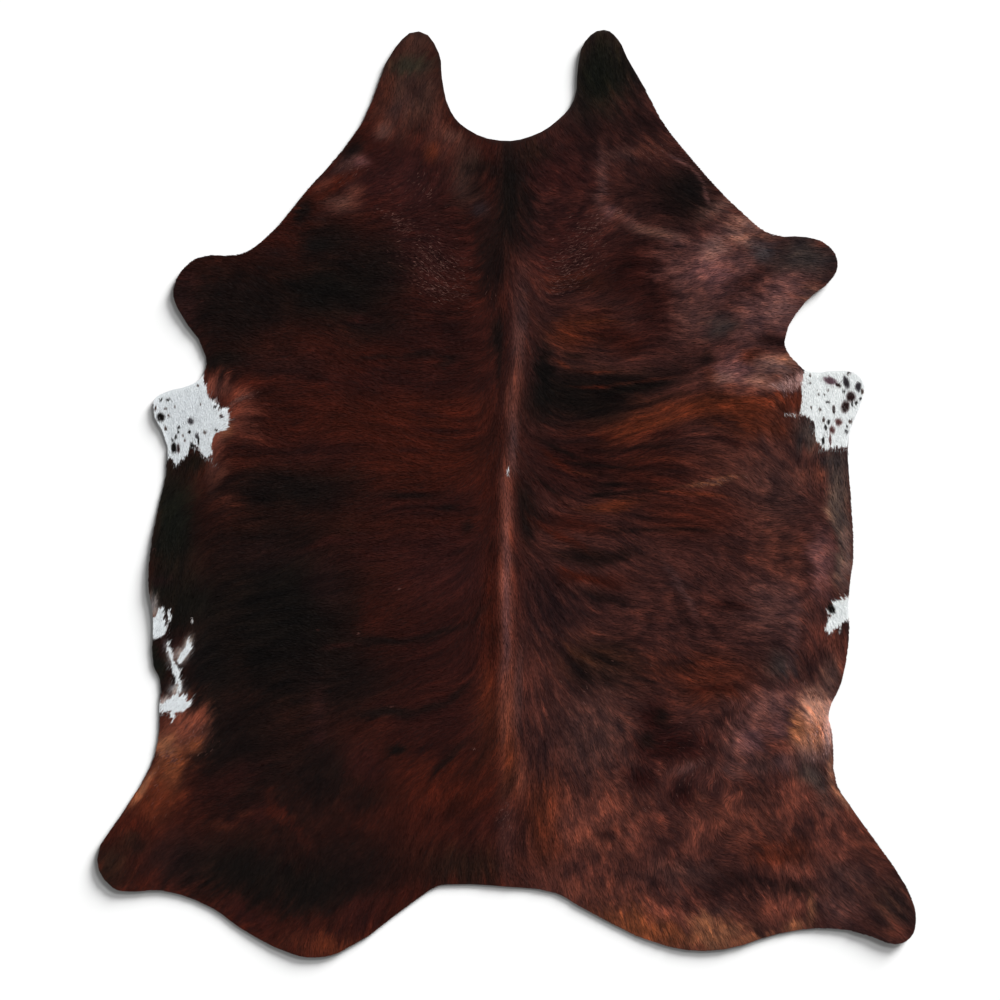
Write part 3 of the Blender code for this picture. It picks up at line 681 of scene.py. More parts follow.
@dataclass
class HairLie:
    """Which way the hair lies all over the hide.

    Attributes:
        direction: for each cell of the chart, the way the tips point, across and along.
        spread: pixels over which one entry of LIES fades into the next.
        waviness: degrees by which locks stray from it, in broad waves.
        hip_middle: the pixel round which the right hip's hair curls.
        hip_reach: how many pixels the curl reaches, across and along.
        hip_curl: how many degrees it turns the hair.
    """

    chart: Chart
    plan: PhotoPlan
    spread: float = 16.0
    waviness: float = 11.0
    hip_middle: tuple[float, float] = (715.0, 790.0)
    hip_reach: tuple[float, float] = (80.0, 90.0)
    hip_curl: float = 38.0
    direction: tuple[Layer, Layer] = field(init=False)

    def __post_init__(self) -> None:
        """Works out the lie from the table and adds its waves."""
        px, py = self.plan.to_photo(*self.chart.places())
        bone_x, bone_y = np.array(BACKBONE, float).T
        out = px - np.interp(py, bone_y, bone_x)
        out_total = np.zeros(px.shape)
        down_total = np.zeros(px.shape)
        for lie in LIES:
            for side in (-1, 1):
                turn = radians(lie.turn if lie.left is None or side > 0 else lie.left)
                away = (out - side * lie.out) ** 2 + (py - lie.py) ** 2
                weight = 1 / (away + self.spread**2) ** 2
                out_total += weight * side * np.sin(turn)
                down_total += weight * np.cos(turn)
        angle = np.arctan2(-down_total, out_total)
        broad = self.chart.noise(11, 0.11)
        hip = np.exp(-(((px - self.hip_middle[0]) / self.hip_reach[0]) ** 2)
                     - ((py - self.hip_middle[1]) / self.hip_reach[1]) ** 2)
        angle += np.radians(self.waviness) * broad
        angle += hip * np.radians(self.hip_curl) * self.chart.noise(12, 0.05)
        self.direction = (np.cos(angle), np.sin(angle))


@dataclass
class Markings:
    """The colours of the coat.

    Attributes:
        coat: for each cell, the hair's red, green and blue as seen on screen, with the marks'
            painted sheen and highlights.
        fray: fine streaks by which the borders of white patches run into the brown.
        stray_sizes: the half size, in pixels, from which soft and firm marks stray in full.
        patch_fray: pixels by which the borders of white patches run along the hair.
        spot_fray: the same, for the spots in them.
        left_painted_shade: how much darker the left half's white is, in red, green and blue.
    """

    chart: Chart
    plan: PhotoPlan
    lie: HairLie
    stray_sizes: tuple[float, float] = (22.0, 10.0)
    patch_fray: float = 1.5
    spot_fray: float = 0.5
    left_painted_shade: tuple[float, float, float] = (0.085, 0.080, 0.070)
    coat: Layer = field(init=False)
    fray: Layer = field(init=False)

    def __post_init__(self) -> None:
        """Paints the grounds and the marks, and breaks them up into brindle."""
        lie = self.lie.direction
        self.fray = self.chart.drawn_out(self.chart.noise(20, 0.0030), lie, 0.012)
        fine = self.chart.drawn_out(self.chart.noise(21, 0.0034), lie, 0.018)
        medium = self.chart.drawn_out(self.chart.noise(22, 0.0075), lie, 0.030)
        broad = self.chart.drawn_out(self.chart.noise(23, 0.0190), lie, 0.045)
        cloud = self.chart.noise(24, 0.050)
        px, py = self.plan.to_photo(*self.chart.places())
        # Painted sheen: the right half's ground is the greyer taupe, partly a sheen painted in.
        right = 1 / (1 + np.exp(-(px - 512) / 14))
        self.coat = (Shade.MAHOGANY.colour[:, None, None] * (1 - right)
                     + Shade.TAUPE.colour[:, None, None] * right)
        run = 2.0 * fine + 2.5 * medium + 2.5 * broad
        soft, firm = self.stray_sizes
        self.paint(MARKS, (px, py), (run, 2.5 * cloud), 1 / soft)
        self.paint(FIRM_MARKS, (px, py), (0.5 * run, 0.6 * cloud), 1 / firm)
        noise, drawn = self.chart.noise, self.chart.drawn_out
        amount = 0.09 * fine + 0.15 * medium + 0.13 * broad
        mottled = (0.04 + 0.08 * fine + 0.08 * noise(25, 0.0075)
                   + 0.14 * drawn(noise(26, 0.015), lie, 0.015))
        combed = (0.10 * drawn(noise(27, 0.0036), lie, 0.032)
                  + 0.14 * drawn(noise(28, 0.0060), lie, 0.050))
        for rounds, other in ((MOTTLED, mottled), (COMBED, combed + 0.05 * broad)):
            part = [np.exp(-(np.hypot(px - place.px, py - place.py) / place.radius) ** 4)
                    for place in rounds]
            amount += (other - amount) * 0.9 * np.maximum.reduce(part)
        hue = np.array([1.0, 0.90, 0.70])[:, None, None]
        self.coat = self.coat * np.exp(hue * ((0.6 + 0.4 * right) * amount + 0.03 * cloud))

    @staticmethod
    def reach(px: Layer, py: Layer, mark: Mark | Spot, size: tuple[float, float]) -> Layer:
        """Measures how far out of a mark places are, as a share of its half size.

        Args:
            px: each place in the photograph, from the left.
            py: the same, from the top.
            mark: the mark, with its middle and its turn.
            size: its half length and half width.

        Returns:
            0 in its middle and 1 on its border, for each place.
        """
        turn = radians(mark.turn)
        across, up = px - mark.px, mark.py - py
        length = (across * np.cos(turn) + up * np.sin(turn)) / size[0]
        width = (up * np.cos(turn) - across * np.sin(turn)) / size[1]
        return np.hypot(length, width)

    def paint(self, marks: tuple[Mark, ...], pixels: tuple[Layer, Layer],
              stray: tuple[Layer, Layer], share: float) -> None:
        """Lays marks on the coat, with edges that run out along the hair.

        Args:
            marks: what is painted, in order.
            pixels: each cell's place in the photograph.
            stray: pixels by which edges stray along the hair and across it.
            share: how fast straying grows with a mark's size, up to all of it.
        """
        chart = self.chart
        for mark in marks:
            size = mark.half_length, mark.half_width
            room = (1.5 * max(size) + 30) * self.plan.pixel
            middle = self.plan.to_hide(mark.px, mark.py)
            column, row = ((middle[axis] - chart.low[axis]) / chart.spacing for axis in (0, 1))
            span = room / chart.spacing
            near = (slice(max(int(row - span), 0), max(int(row + span), 0)),
                    slice(max(int(column - span), 0), max(int(column + span), 0)))
            along_x, along_y = (layer[near] for layer in self.lie.direction)
            part = min(1.0, (size[0] * size[1]) ** 0.5 * share)
            run, drift = (part * layer[near] for layer in stray)
            ragged_x = pixels[0][near] + run * along_x - drift * along_y
            ragged_y = pixels[1][near] - run * along_y - drift * along_x
            cover = mark.strength * np.exp(-self.reach(ragged_x, ragged_y, mark, size) ** 2.7)
            part = self.coat[(slice(None), *near)]
            part += (mark.shade.colour[:, None, None] - part) * cover

    def patch_depth(self, across: np.ndarray, along: np.ndarray) -> np.ndarray:
        """Measures how deep in a white patch places are, in pixels, less than 0 outside."""
        px, py = self.plan.to_photo(across, along)
        depths = (distance_inside(px, py, np.array(corners, float))
                  for corners in WHITE_PATCHES.values())
        return np.maximum.reduce(list(depths))

    def at(self, across: np.ndarray, along: np.ndarray) -> np.ndarray:
        """Gives the hair's colour at places on the hide.

        Args:
            across: metres across, for each place.
            along: metres along, for each place.

        Returns:
            Red, green and blue as seen on screen, one row for each place.
        """
        read = self.chart.read
        colour = np.stack([read(layer, across, along) for layer in self.coat], 1)
        px, py = self.plan.to_photo(across, along)
        fray = read(self.fray, across, along)
        way_x, way_y = (read(layer, across, along) for layer in self.lie.direction)
        run = self.patch_fray * fray
        ragged = px + run * way_x, py - run * way_y
        depths = [distance_inside(*ragged, np.array(corners, float))
                  for corners in WHITE_PATCHES.values()]
        white = soft_step(np.maximum.reduce(depths), -0.5, 0.5)[:, None]
        # Painted shade: the left half's white is darker and greyer than the right's.
        left = soft_step(px, 520, 480)[:, None]
        pale = Shade.WHITE.colour - left * self.left_painted_shade
        colour = colour + (pale + 0.015 * fray[:, None] - colour) * white
        run = self.spot_fray * fray
        ragged = px + run * way_x, py - run * way_y
        hold = np.maximum.reduce(depths) > -8
        for spot in SPOTS:
            near = hold & (np.hypot(px - spot.px, py - spot.py) < spot.across + spot.along + 2)
            reach = self.reach(*(way[near] for way in ragged), spot, (spot.across / 2, spot.along / 2))
            cover = soft_step(reach, 1.35, 0.60)[:, None]
            colour[near] += (spot.shade.colour - colour[near]) * cover
        return colour


def soft_step(value: Layer, start: float, end: float) -> Layer:
    """Rises smoothly from 0 at start to 1 at end.

    Args:
        value: the numbers to step.
        start: where the step begins.
        end: where it is full.

    Returns:
        A share from 0 to 1 for each number.
    """
    share = ((value - start) / (end - start)).clip(0, 1)
    return share * share * (3 - 2 * share)


def distance_inside(px: Layer, py: Layer, corners: np.ndarray) -> Layer:
    """Measures how far places are inside a drawn shape.

    Args:
        px: each place, from the left.
        py: each place, from the top.
        corners: the shape's corners in order, one row each.

    Returns:
        The distance to the shape's border, less than 0 outside it, down to -16.
    """
    far = 16
    places = np.stack([px, py], -1)
    near = ((places > corners.min(0) - far) & (places < corners.max(0) + far)).all(-1)
    px, py = places[near].T
    nearest = np.full(px.shape, far**2)
    within = np.zeros(px.shape, bool)
    for (ax, ay), (bx, by) in zip(corners, np.roll(corners, -1, 0)):
        dx, dy = bx - ax, by - ay
        share = (((px - ax) * dx + (py - ay) * dy) / (dx * dx + dy * dy)).clip(0, 1)
        nearest = np.minimum(nearest, (px - ax - share * dx) ** 2 + (py - ay - share * dy) ** 2)
        if dy:
            within ^= ((ay > py) != (by > py)) & (px < ax + (py - ay) * dx / dy)
    depth = np.full(near.shape, -float(far))
    depth[near] = np.sqrt(nearest) * np.where(within, 1, -1)
    return depth


def merged_copy(node: str) -> bmesh.types.BMesh:
    """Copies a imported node's mesh and joins its loose triangles.

    Args:
        node: the node's name.

    Returns:
        A new bmesh of the whole, closed solid.
    """
    bm = bmesh.new()
    bm.from_mesh(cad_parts[node].data)
    bmesh.ops.remove_doubles(bm, verts=bm.verts, dist=1e-5)
    bm.normal_update()
    return bm


class Nodes:
    """A short way to build one material's or one group's nodes."""

    def __init__(self, tree: bpy.types.NodeTree) -> None:
        """Takes the tree that the nodes go into."""
        self.tree = tree

    def add(self, kind: str, inputs: dict | None = None, **settings: object) -> bpy.types.Node:
        """Adds a node.

        Args:
            kind: Blender's name for the node's type.
            inputs: the value of, or the output linked to, each input, by its name or number.
            settings: the node's own settings.

        Returns:
            The new node.
        """
        node = self.tree.nodes.new(kind)
        for name, value in settings.items():
            setattr(node, name, value)
        for name, value in (inputs or {}).items():
            if isinstance(value, bpy.types.NodeSocket):
                self.tree.links.new(value, node.inputs[name])
            else:
                node.inputs[name].default_value = value
        return node

    def ramp(self, factor: bpy.types.NodeSocket, stops: tuple) -> bpy.types.NodeSocket:
        """Adds a colour ramp.

        Args:
            factor: what it reads.
            stops: pairs of a place from 0 to 1 and a hex colour as seen on screen.

        Returns:
            The ramp's colour.
        """
        node = self.add("ShaderNodeValToRGB", {"Fac": factor})
        points = node.color_ramp.elements
        while len(points) < len(stops):
            points.new(0.5)
        for point, (place, colour) in zip(points, stops):
            point.position = place
            point.color = linear(colour)
        return node.outputs["Color"]

    def math(self, operation: str, *values: object) -> bpy.types.NodeSocket:
        """Adds a maths node on numbers or sockets, and gives its result."""
        node = self.add("ShaderNodeMath", dict(enumerate(values)), operation=operation)
        return node.outputs[0]


def as_light(colour: np.ndarray) -> np.ndarray:
    """Turns colours as seen on screen, from 0 to 1, into amounts of light."""
    return np.where(colour <= 0.04045, colour / 12.92, ((colour + 0.055) / 1.055) ** 2.4)


def linear(colour: str) -> tuple[float, float, float, float]:
    """Turns six hex digits, as seen on screen, into light, with full cover."""
    shares = [int(colour[place : place + 2], 16) / 255 for place in (0, 2, 4)]
    return (*as_light(np.array(shares)).tolist(), 1.0)


def coat_colour_group() -> bpy.types.NodeTree:
    """Builds the node group that turns a lock's own colour into what its place shows of it,
    darker towards the root as a painted shade.

    Returns:
        The group, with inputs Marking, Shade and Root, and the output Color.
    """
    name = "coat_colour"
    if name in bpy.data.node_groups:
        return bpy.data.node_groups[name]
    tree = bpy.data.node_groups.new(name, "ShaderNodeTree")
    tree.interface.new_socket("Marking", in_out="INPUT", socket_type="NodeSocketColor")
    for socket in ("Shade", "RootShade"):
        tree.interface.new_socket(socket, in_out="INPUT", socket_type="NodeSocketFloat")
    tree.interface.new_socket("Color", in_out="OUTPUT", socket_type="NodeSocketColor")
    nodes = Nodes(tree)
    given = nodes.add("NodeGroupInput").outputs
    level = nodes.add("ShaderNodeRGBToBW", {0: given["Marking"]}).outputs[0]
    white = nodes.add("ShaderNodeMapRange", {0: level, 1: 0.25, 2: 0.5}).outputs[0]
    # Painted shade: brown hair darkens fully with the root factor, white hair only a little.
    dark = nodes.math("MULTIPLY_ADD", given["Shade"], 0.72, 1.22)
    dark = nodes.math("MULTIPLY", dark, given["RootShade"])
    pale = nodes.math("MULTIPLY_ADD", given["RootShade"], 0.20, 0.96)
    value = nodes.add("ShaderNodeMix", {0: white, 2: dark, 3: pale}, data_type="FLOAT")
    made = nodes.add("ShaderNodeHueSaturation", {"Value": value.outputs[0],
                                                 "Color": given["Marking"]})
    result = nodes.add("NodeGroupOutput")
    tree.links.new(made.outputs["Color"], result.inputs["Color"])
    return tree


@dataclass(frozen=True)
class HairFinish:
    """Short, lying cattle hair: glossy where it is clean, dull where it is dusty.

    Attributes:
        roughness: from the sleekest lock to the dullest.
        gloss: how strongly it shines.
        painted_root_shade: how much light is left at a lock's root.
    """

    roughness: tuple[float, float] = (0.42, 0.66)
    gloss: float = 0.02
    # Painted shade: each lock's colour darkens towards its root, shaded by the hair over it.
    painted_root_shade: float = 0.62

    def material(self) -> bpy.types.Material:
        """Builds the hair's material, which reads the locks' attributes."""
        material = bpy.data.materials.new("brindle_hair")
        material.use_nodes = True
        nodes = Nodes(material.node_tree)
        shader = material.node_tree.nodes["Principled BSDF"]
        marking = nodes.add("ShaderNodeAttribute", attribute_name="marking")
        strand = nodes.add("ShaderNodeAttribute", attribute_name="strand")
        lock = nodes.add("ShaderNodeSeparateXYZ", {0: strand.outputs["Vector"]}).outputs
        place = nodes.add("ShaderNodeTexCoord").outputs["Object"]
        grain = nodes.add("ShaderNodeTexNoise", {"Vector": place, "Scale": 420.0, "Detail": 2.0})
        shade = nodes.math("MULTIPLY_ADD", grain.outputs["Fac"], 0.30, -0.15)
        shade = nodes.math("ADD", shade, lock[1])
        # Painted shade: from the root's light at the root up to full light at the tip.
        root = nodes.math("MULTIPLY_ADD", lock[0], 1 - self.painted_root_shade, self.painted_root_shade)
        colour = nodes.add("ShaderNodeGroup", node_tree=coat_colour_group())
        for name, value in zip(("Marking", "Shade", "RootShade"),
                               (marking.outputs["Vector"], shade, root)):
            material.node_tree.links.new(value, colour.inputs[name])
        span = self.roughness[1] - self.roughness[0]
        rough = nodes.math("MULTIPLY_ADD", lock[2], span, self.roughness[0])
        bump = nodes.add("ShaderNodeBump", {"Height": grain.outputs["Fac"], "Strength": 0.25,
                                            "Distance": 0.0006})
        links = material.node_tree.links
        links.new(colour.outputs["Color"], shader.inputs["Base Color"])
        links.new(rough, shader.inputs["Roughness"])
        links.new(bump.outputs["Normal"], shader.inputs["Normal"])
        shader.inputs["Specular IOR Level"].default_value = self.gloss
        return material


@dataclass(frozen=True)
class LeatherFinish:
    """The tanned leather: pale suede on the flesh side, and hidden under the hair, where it takes
    the coat's colours darkened as a painted shade.

    Attributes:
        suede: the flesh side's colours, from its hollows to its nap.
        roughness: the suede's roughness.
    """

    suede: tuple[str, str] = ("a99a86", "d8cdbb")
    roughness: float = 0.92

    def material(self) -> bpy.types.Material:
        """Builds the leather's material, which tells its sides apart by an attribute."""
        material = bpy.data.materials.new("tanned_hide")
        material.use_nodes = True
        nodes = Nodes(material.node_tree)
        links = material.node_tree.links
        shader = material.node_tree.nodes["Principled BSDF"]
        marking = nodes.add("ShaderNodeAttribute", attribute_name="marking")
        strand = nodes.add("ShaderNodeAttribute", attribute_name="strand")
        side = nodes.add("ShaderNodeSeparateXYZ", {0: strand.outputs["Vector"]}).outputs
        place = nodes.add("ShaderNodeTexCoord").outputs["Object"]
        fibre = nodes.add("ShaderNodeTexNoise", {"Vector": place, "Scale": 260.0, "Detail": 5.0,
                                                 "Roughness": 0.7})
        blotch = nodes.add("ShaderNodeTexNoise", {"Vector": place, "Scale": 7.0, "Detail": 4.0})
        coat = nodes.add("ShaderNodeGroup", node_tree=coat_colour_group())
        # Painted shade: the hair side takes the coat's colours darkened, shaded by the hair.
        coat.inputs["RootShade"].default_value = 0.55
        links.new(marking.outputs["Vector"], coat.inputs["Marking"])
        links.new(fibre.outputs["Fac"], coat.inputs["Shade"])
        nap = nodes.math("ADD", fibre.outputs["Fac"], blotch.outputs["Fac"])
        nap = nodes.math("MULTIPLY", nap, 0.5)
        suede = nodes.ramp(nap, ((0.32, self.suede[0]), (0.68, self.suede[1])))
        sides = nodes.add("ShaderNodeMix", {0: side[0], 6: coat.outputs["Color"], 7: suede},
                          data_type="RGBA")
        bump = nodes.add("ShaderNodeBump", {"Height": fibre.outputs["Fac"], "Strength": 0.5,
                                            "Distance": 0.0008})
        rough = nodes.math("MULTIPLY_ADD", fibre.outputs["Fac"], 0.12, self.roughness - 0.08)
        links.new(sides.outputs[2], shader.inputs["Base Color"])
        links.new(rough, shader.inputs["Roughness"])
        links.new(bump.outputs["Normal"], shader.inputs["Normal"])
        shader.inputs["Specular IOR Level"].default_value = 0.2
        return material


def add_vectors(mesh: bpy.types.Mesh, name: str, values: np.ndarray) -> None:
    """Gives a mesh one vector a point.

    Args:
        mesh: the mesh.
        name: the attribute's name.
        values: one row of three for each point.
    """
    attribute = mesh.attributes.new(name, "FLOAT_VECTOR", "POINT")
    attribute.data.foreach_set("vector", values.astype(np.float32).ravel())


@dataclass
class Leather:
    """The tanned skin under the hair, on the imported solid's outline and folds.

    Attributes:
        coat_room: metres kept free above it for the hair.
        rim: metres over which the hair thins towards the trimmed edge.
    """

    edge: Edge
    markings: Markings
    coat_room: float = 0.0029
    rim: float = 0.019
    piece: bpy.types.Object = field(init=False)

    def build(self) -> bpy.types.Object:
        """Makes the leather from a copy of the solid.

        Returns:
            The leather's object.
        """
        bm = merged_copy("hide")
        bmesh.ops.subdivide_edges(bm, edges=bm.edges, cuts=1, use_grid_fill=True)
        bm.normal_update()
        chart = self.edge.chart
        for corner in bm.verts:
            place = np.array([corner.co.x]), np.array([corner.co.y])
            inside = max(float(chart.read(self.edge.inside, *place)[0]), 0)
            if corner.normal.z > 0:
                share = min(inside / self.rim, 1)
                corner.co.z -= self.coat_room * share * (2 - share)
        bmesh.ops.recalc_face_normals(bm, faces=bm.faces)
        mesh = bpy.data.meshes.new("leather")
        bm.to_mesh(mesh)
        bm.free()
        mesh.shade_smooth()
        self.colour(mesh)
        self.piece = bpy.data.objects.new("leather", mesh)
        bpy.context.scene.collection.objects.link(self.piece)
        return self.piece

    def colour(self, mesh: bpy.types.Mesh) -> None:
        """Reads the coat's markings into the mesh, and marks its flesh side."""
        place = np.empty(len(mesh.vertices) * 3)
        mesh.vertices.foreach_get("co", place)
        across, along, _ = place.reshape(-1, 3).T
        normal = np.empty(len(mesh.vertices) * 3)
        mesh.vertices.foreach_get("normal", normal)
        flesh = soft_step(-normal.reshape(-1, 3)[:, 2], 0.0, 0.5)
        add_vectors(mesh, "marking", as_light(self.markings.at(across, along)))
        add_vectors(mesh, "strand", np.stack([flesh, flesh * 0, flesh * 0], 1))

    def heights(self) -> Layer:
        """Reads how high the leather's hair side is at each cell of the chart.

        Returns:
            Metres above the floor, one number for each cell.
        """
        chart = self.edge.chart
        graph = bpy.context.evaluated_depsgraph_get()
        tree = BVHTree.FromObject(self.piece, graph)
        stride = 4
        across, along = chart.places()
        coarse = np.full(across[::stride, ::stride].shape, np.nan)
        for row, column in np.ndindex(*coarse.shape):
            start = (across[0, column * stride], along[row * stride, 0], 1.0)
            hit = tree.ray_cast(Vector(start), Vector((0, 0, -1)))[0]
            if hit is not None:
                coarse[row, column] = hit.z
        for _ in range(6):
            coarse = self.grown(coarse)
        coarse = np.nan_to_num(coarse, nan=0.003)
        rows = np.arange(chart.shape[0]) / stride
        columns = np.arange(chart.shape[1]) / stride
        by_row = np.stack([np.interp(columns, np.arange(coarse.shape[1]), line)
                           for line in coarse])
        low = rows.astype(int).clip(0, coarse.shape[0] - 2)
        share = (rows - low).clip(0, 1)[:, None]
        return by_row[low] * (1 - share) + by_row[low + 1] * share

    @staticmethod
    def grown(heights: Layer) -> Layer:
        """Gives empty cells the mean of their known neighbours."""
        padded = np.pad(heights, 1, constant_values=np.nan)
        rows, columns = heights.shape
        near = [padded[1 + dy : 1 + dy + rows, 1 + dx : 1 + dx + columns]
                for dy in (-1, 0, 1) for dx in (-1, 0, 1)]
        known = np.stack(near)
        count = np.isfinite(known).sum(0)
        mean = np.nansum(known, 0) / np.maximum(count, 1)
        return np.where(np.isfinite(heights) | (count == 0), heights, mean)


@dataclass
class Strands:
    """Locks or single hairs that lie on the leather, each a flat strip with a pointed tip.

    Attributes:
        root: where each starts, as one row of across and along.
        turn: which way each points, in radians anticlockwise from straight right.
        length: how long each is.
        width: how wide each is.
        rise: how high each stands over the leather at its middle.
        marking: the colour of each, as one row of red, green and blue as seen on screen.
        pallor: how light each is within its colour, from 0 to 1.
        lifts: the height of root, middle and tip, as shares of the rise.
    """

    root: np.ndarray
    turn: np.ndarray
    length: np.ndarray
    width: np.ndarray
    rise: np.ndarray
    marking: np.ndarray
    pallor: np.ndarray
    lifts: tuple[float, float, float] = (-0.10, 0.86, 0.92)

    def mesh(self, name: str, chart: Chart, ground: Layer, seed: int) -> bpy.types.Mesh:
        """Makes the strips and joins them into one mesh, mapped flat by where they lie.

        Args:
            name: the mesh's name.
            chart: the chart of the hide.
            ground: the leather's height, one number for each cell of the chart.
            seed: which random draws it takes.

        Returns:
            The mesh, with its markings, its strand numbers and its map.
        """
        random = np.random.default_rng(seed)
        count = len(self.root)
        way = np.stack([np.cos(self.turn), np.sin(self.turn)], 1)
        side = np.stack([-way[:, 1], way[:, 0]], 1)
        roll = random.normal(0, 0.20, count) * self.width
        low, middle, tip = self.lifts
        places = np.zeros((count, 5, 3))
        corners = ((0.0, -0.40, low), (0.0, 0.40, low), (0.55, -0.5, middle), (0.55, 0.5, middle),
                   (1.0, 0.0, tip))
        for corner, (share, off, lift) in enumerate(corners):
            flat = self.root + way * (self.length * share)[:, None]
            flat = flat + side * (self.width * off)[:, None]
            places[:, corner, :2] = flat
            floor = np.maximum(chart.read(ground, *flat.T), 0.0006)
            places[:, corner, 2] = floor + self.rise * lift + roll * off * 2
        mesh = self.joined(name, places)
        add_vectors(mesh, "marking", np.repeat(as_light(self.marking), 5, 0))
        strand = np.zeros((count, 5, 3))
        # How far along each point lies, root to tip, which sets the painted shade at the root.
        strand[:, :, 0] = np.array([0.0, 0.0, 0.8, 0.8, 1.0])
        strand[:, :, 1] = self.pallor[:, None]
        strand[:, :, 2] = random.uniform(0, 1, count)[:, None]
        add_vectors(mesh, "strand", strand.reshape(-1, 3))
        return mesh

    @staticmethod
    def joined(name: str, places: np.ndarray) -> bpy.types.Mesh:
        """Joins strips of five points each.

        Args:
            name: the mesh's name.
            places: each strip's five points.

        Returns:
            The mesh, with a map of where each corner lies in the plan.
        """
        count = len(places)
        mesh = bpy.data.meshes.new(name)
        mesh.vertices.add(count * 5)
        mesh.vertices.foreach_set("co", places.astype(np.float32).ravel())
        first = np.arange(count)[:, None] * 5
        quads = first + np.array([0, 2, 3, 1])
        tips = first + np.array([2, 4, 3])
        corners = np.concatenate([quads, tips], 1).ravel()
        mesh.loops.add(len(corners))
        mesh.loops.foreach_set("vertex_index", corners.astype(np.int32))
        mesh.polygons.add(count * 2)
        starts = (np.arange(count)[:, None] * 7 + np.array([0, 4])).ravel()
        mesh.polygons.foreach_set("loop_start", starts.astype(np.int32))
        mesh.update(calc_edges=True)
        mesh.shade_smooth()
        flat = places.reshape(-1, 3)[corners, :2]
        low, high = flat.min(0), flat.max(0)
        layer = mesh.uv_layers.new(name="OFBake")
        layer.data.foreach_set("uv", ((flat - low) / (high - low)).astype(np.float32).ravel())
        return mesh


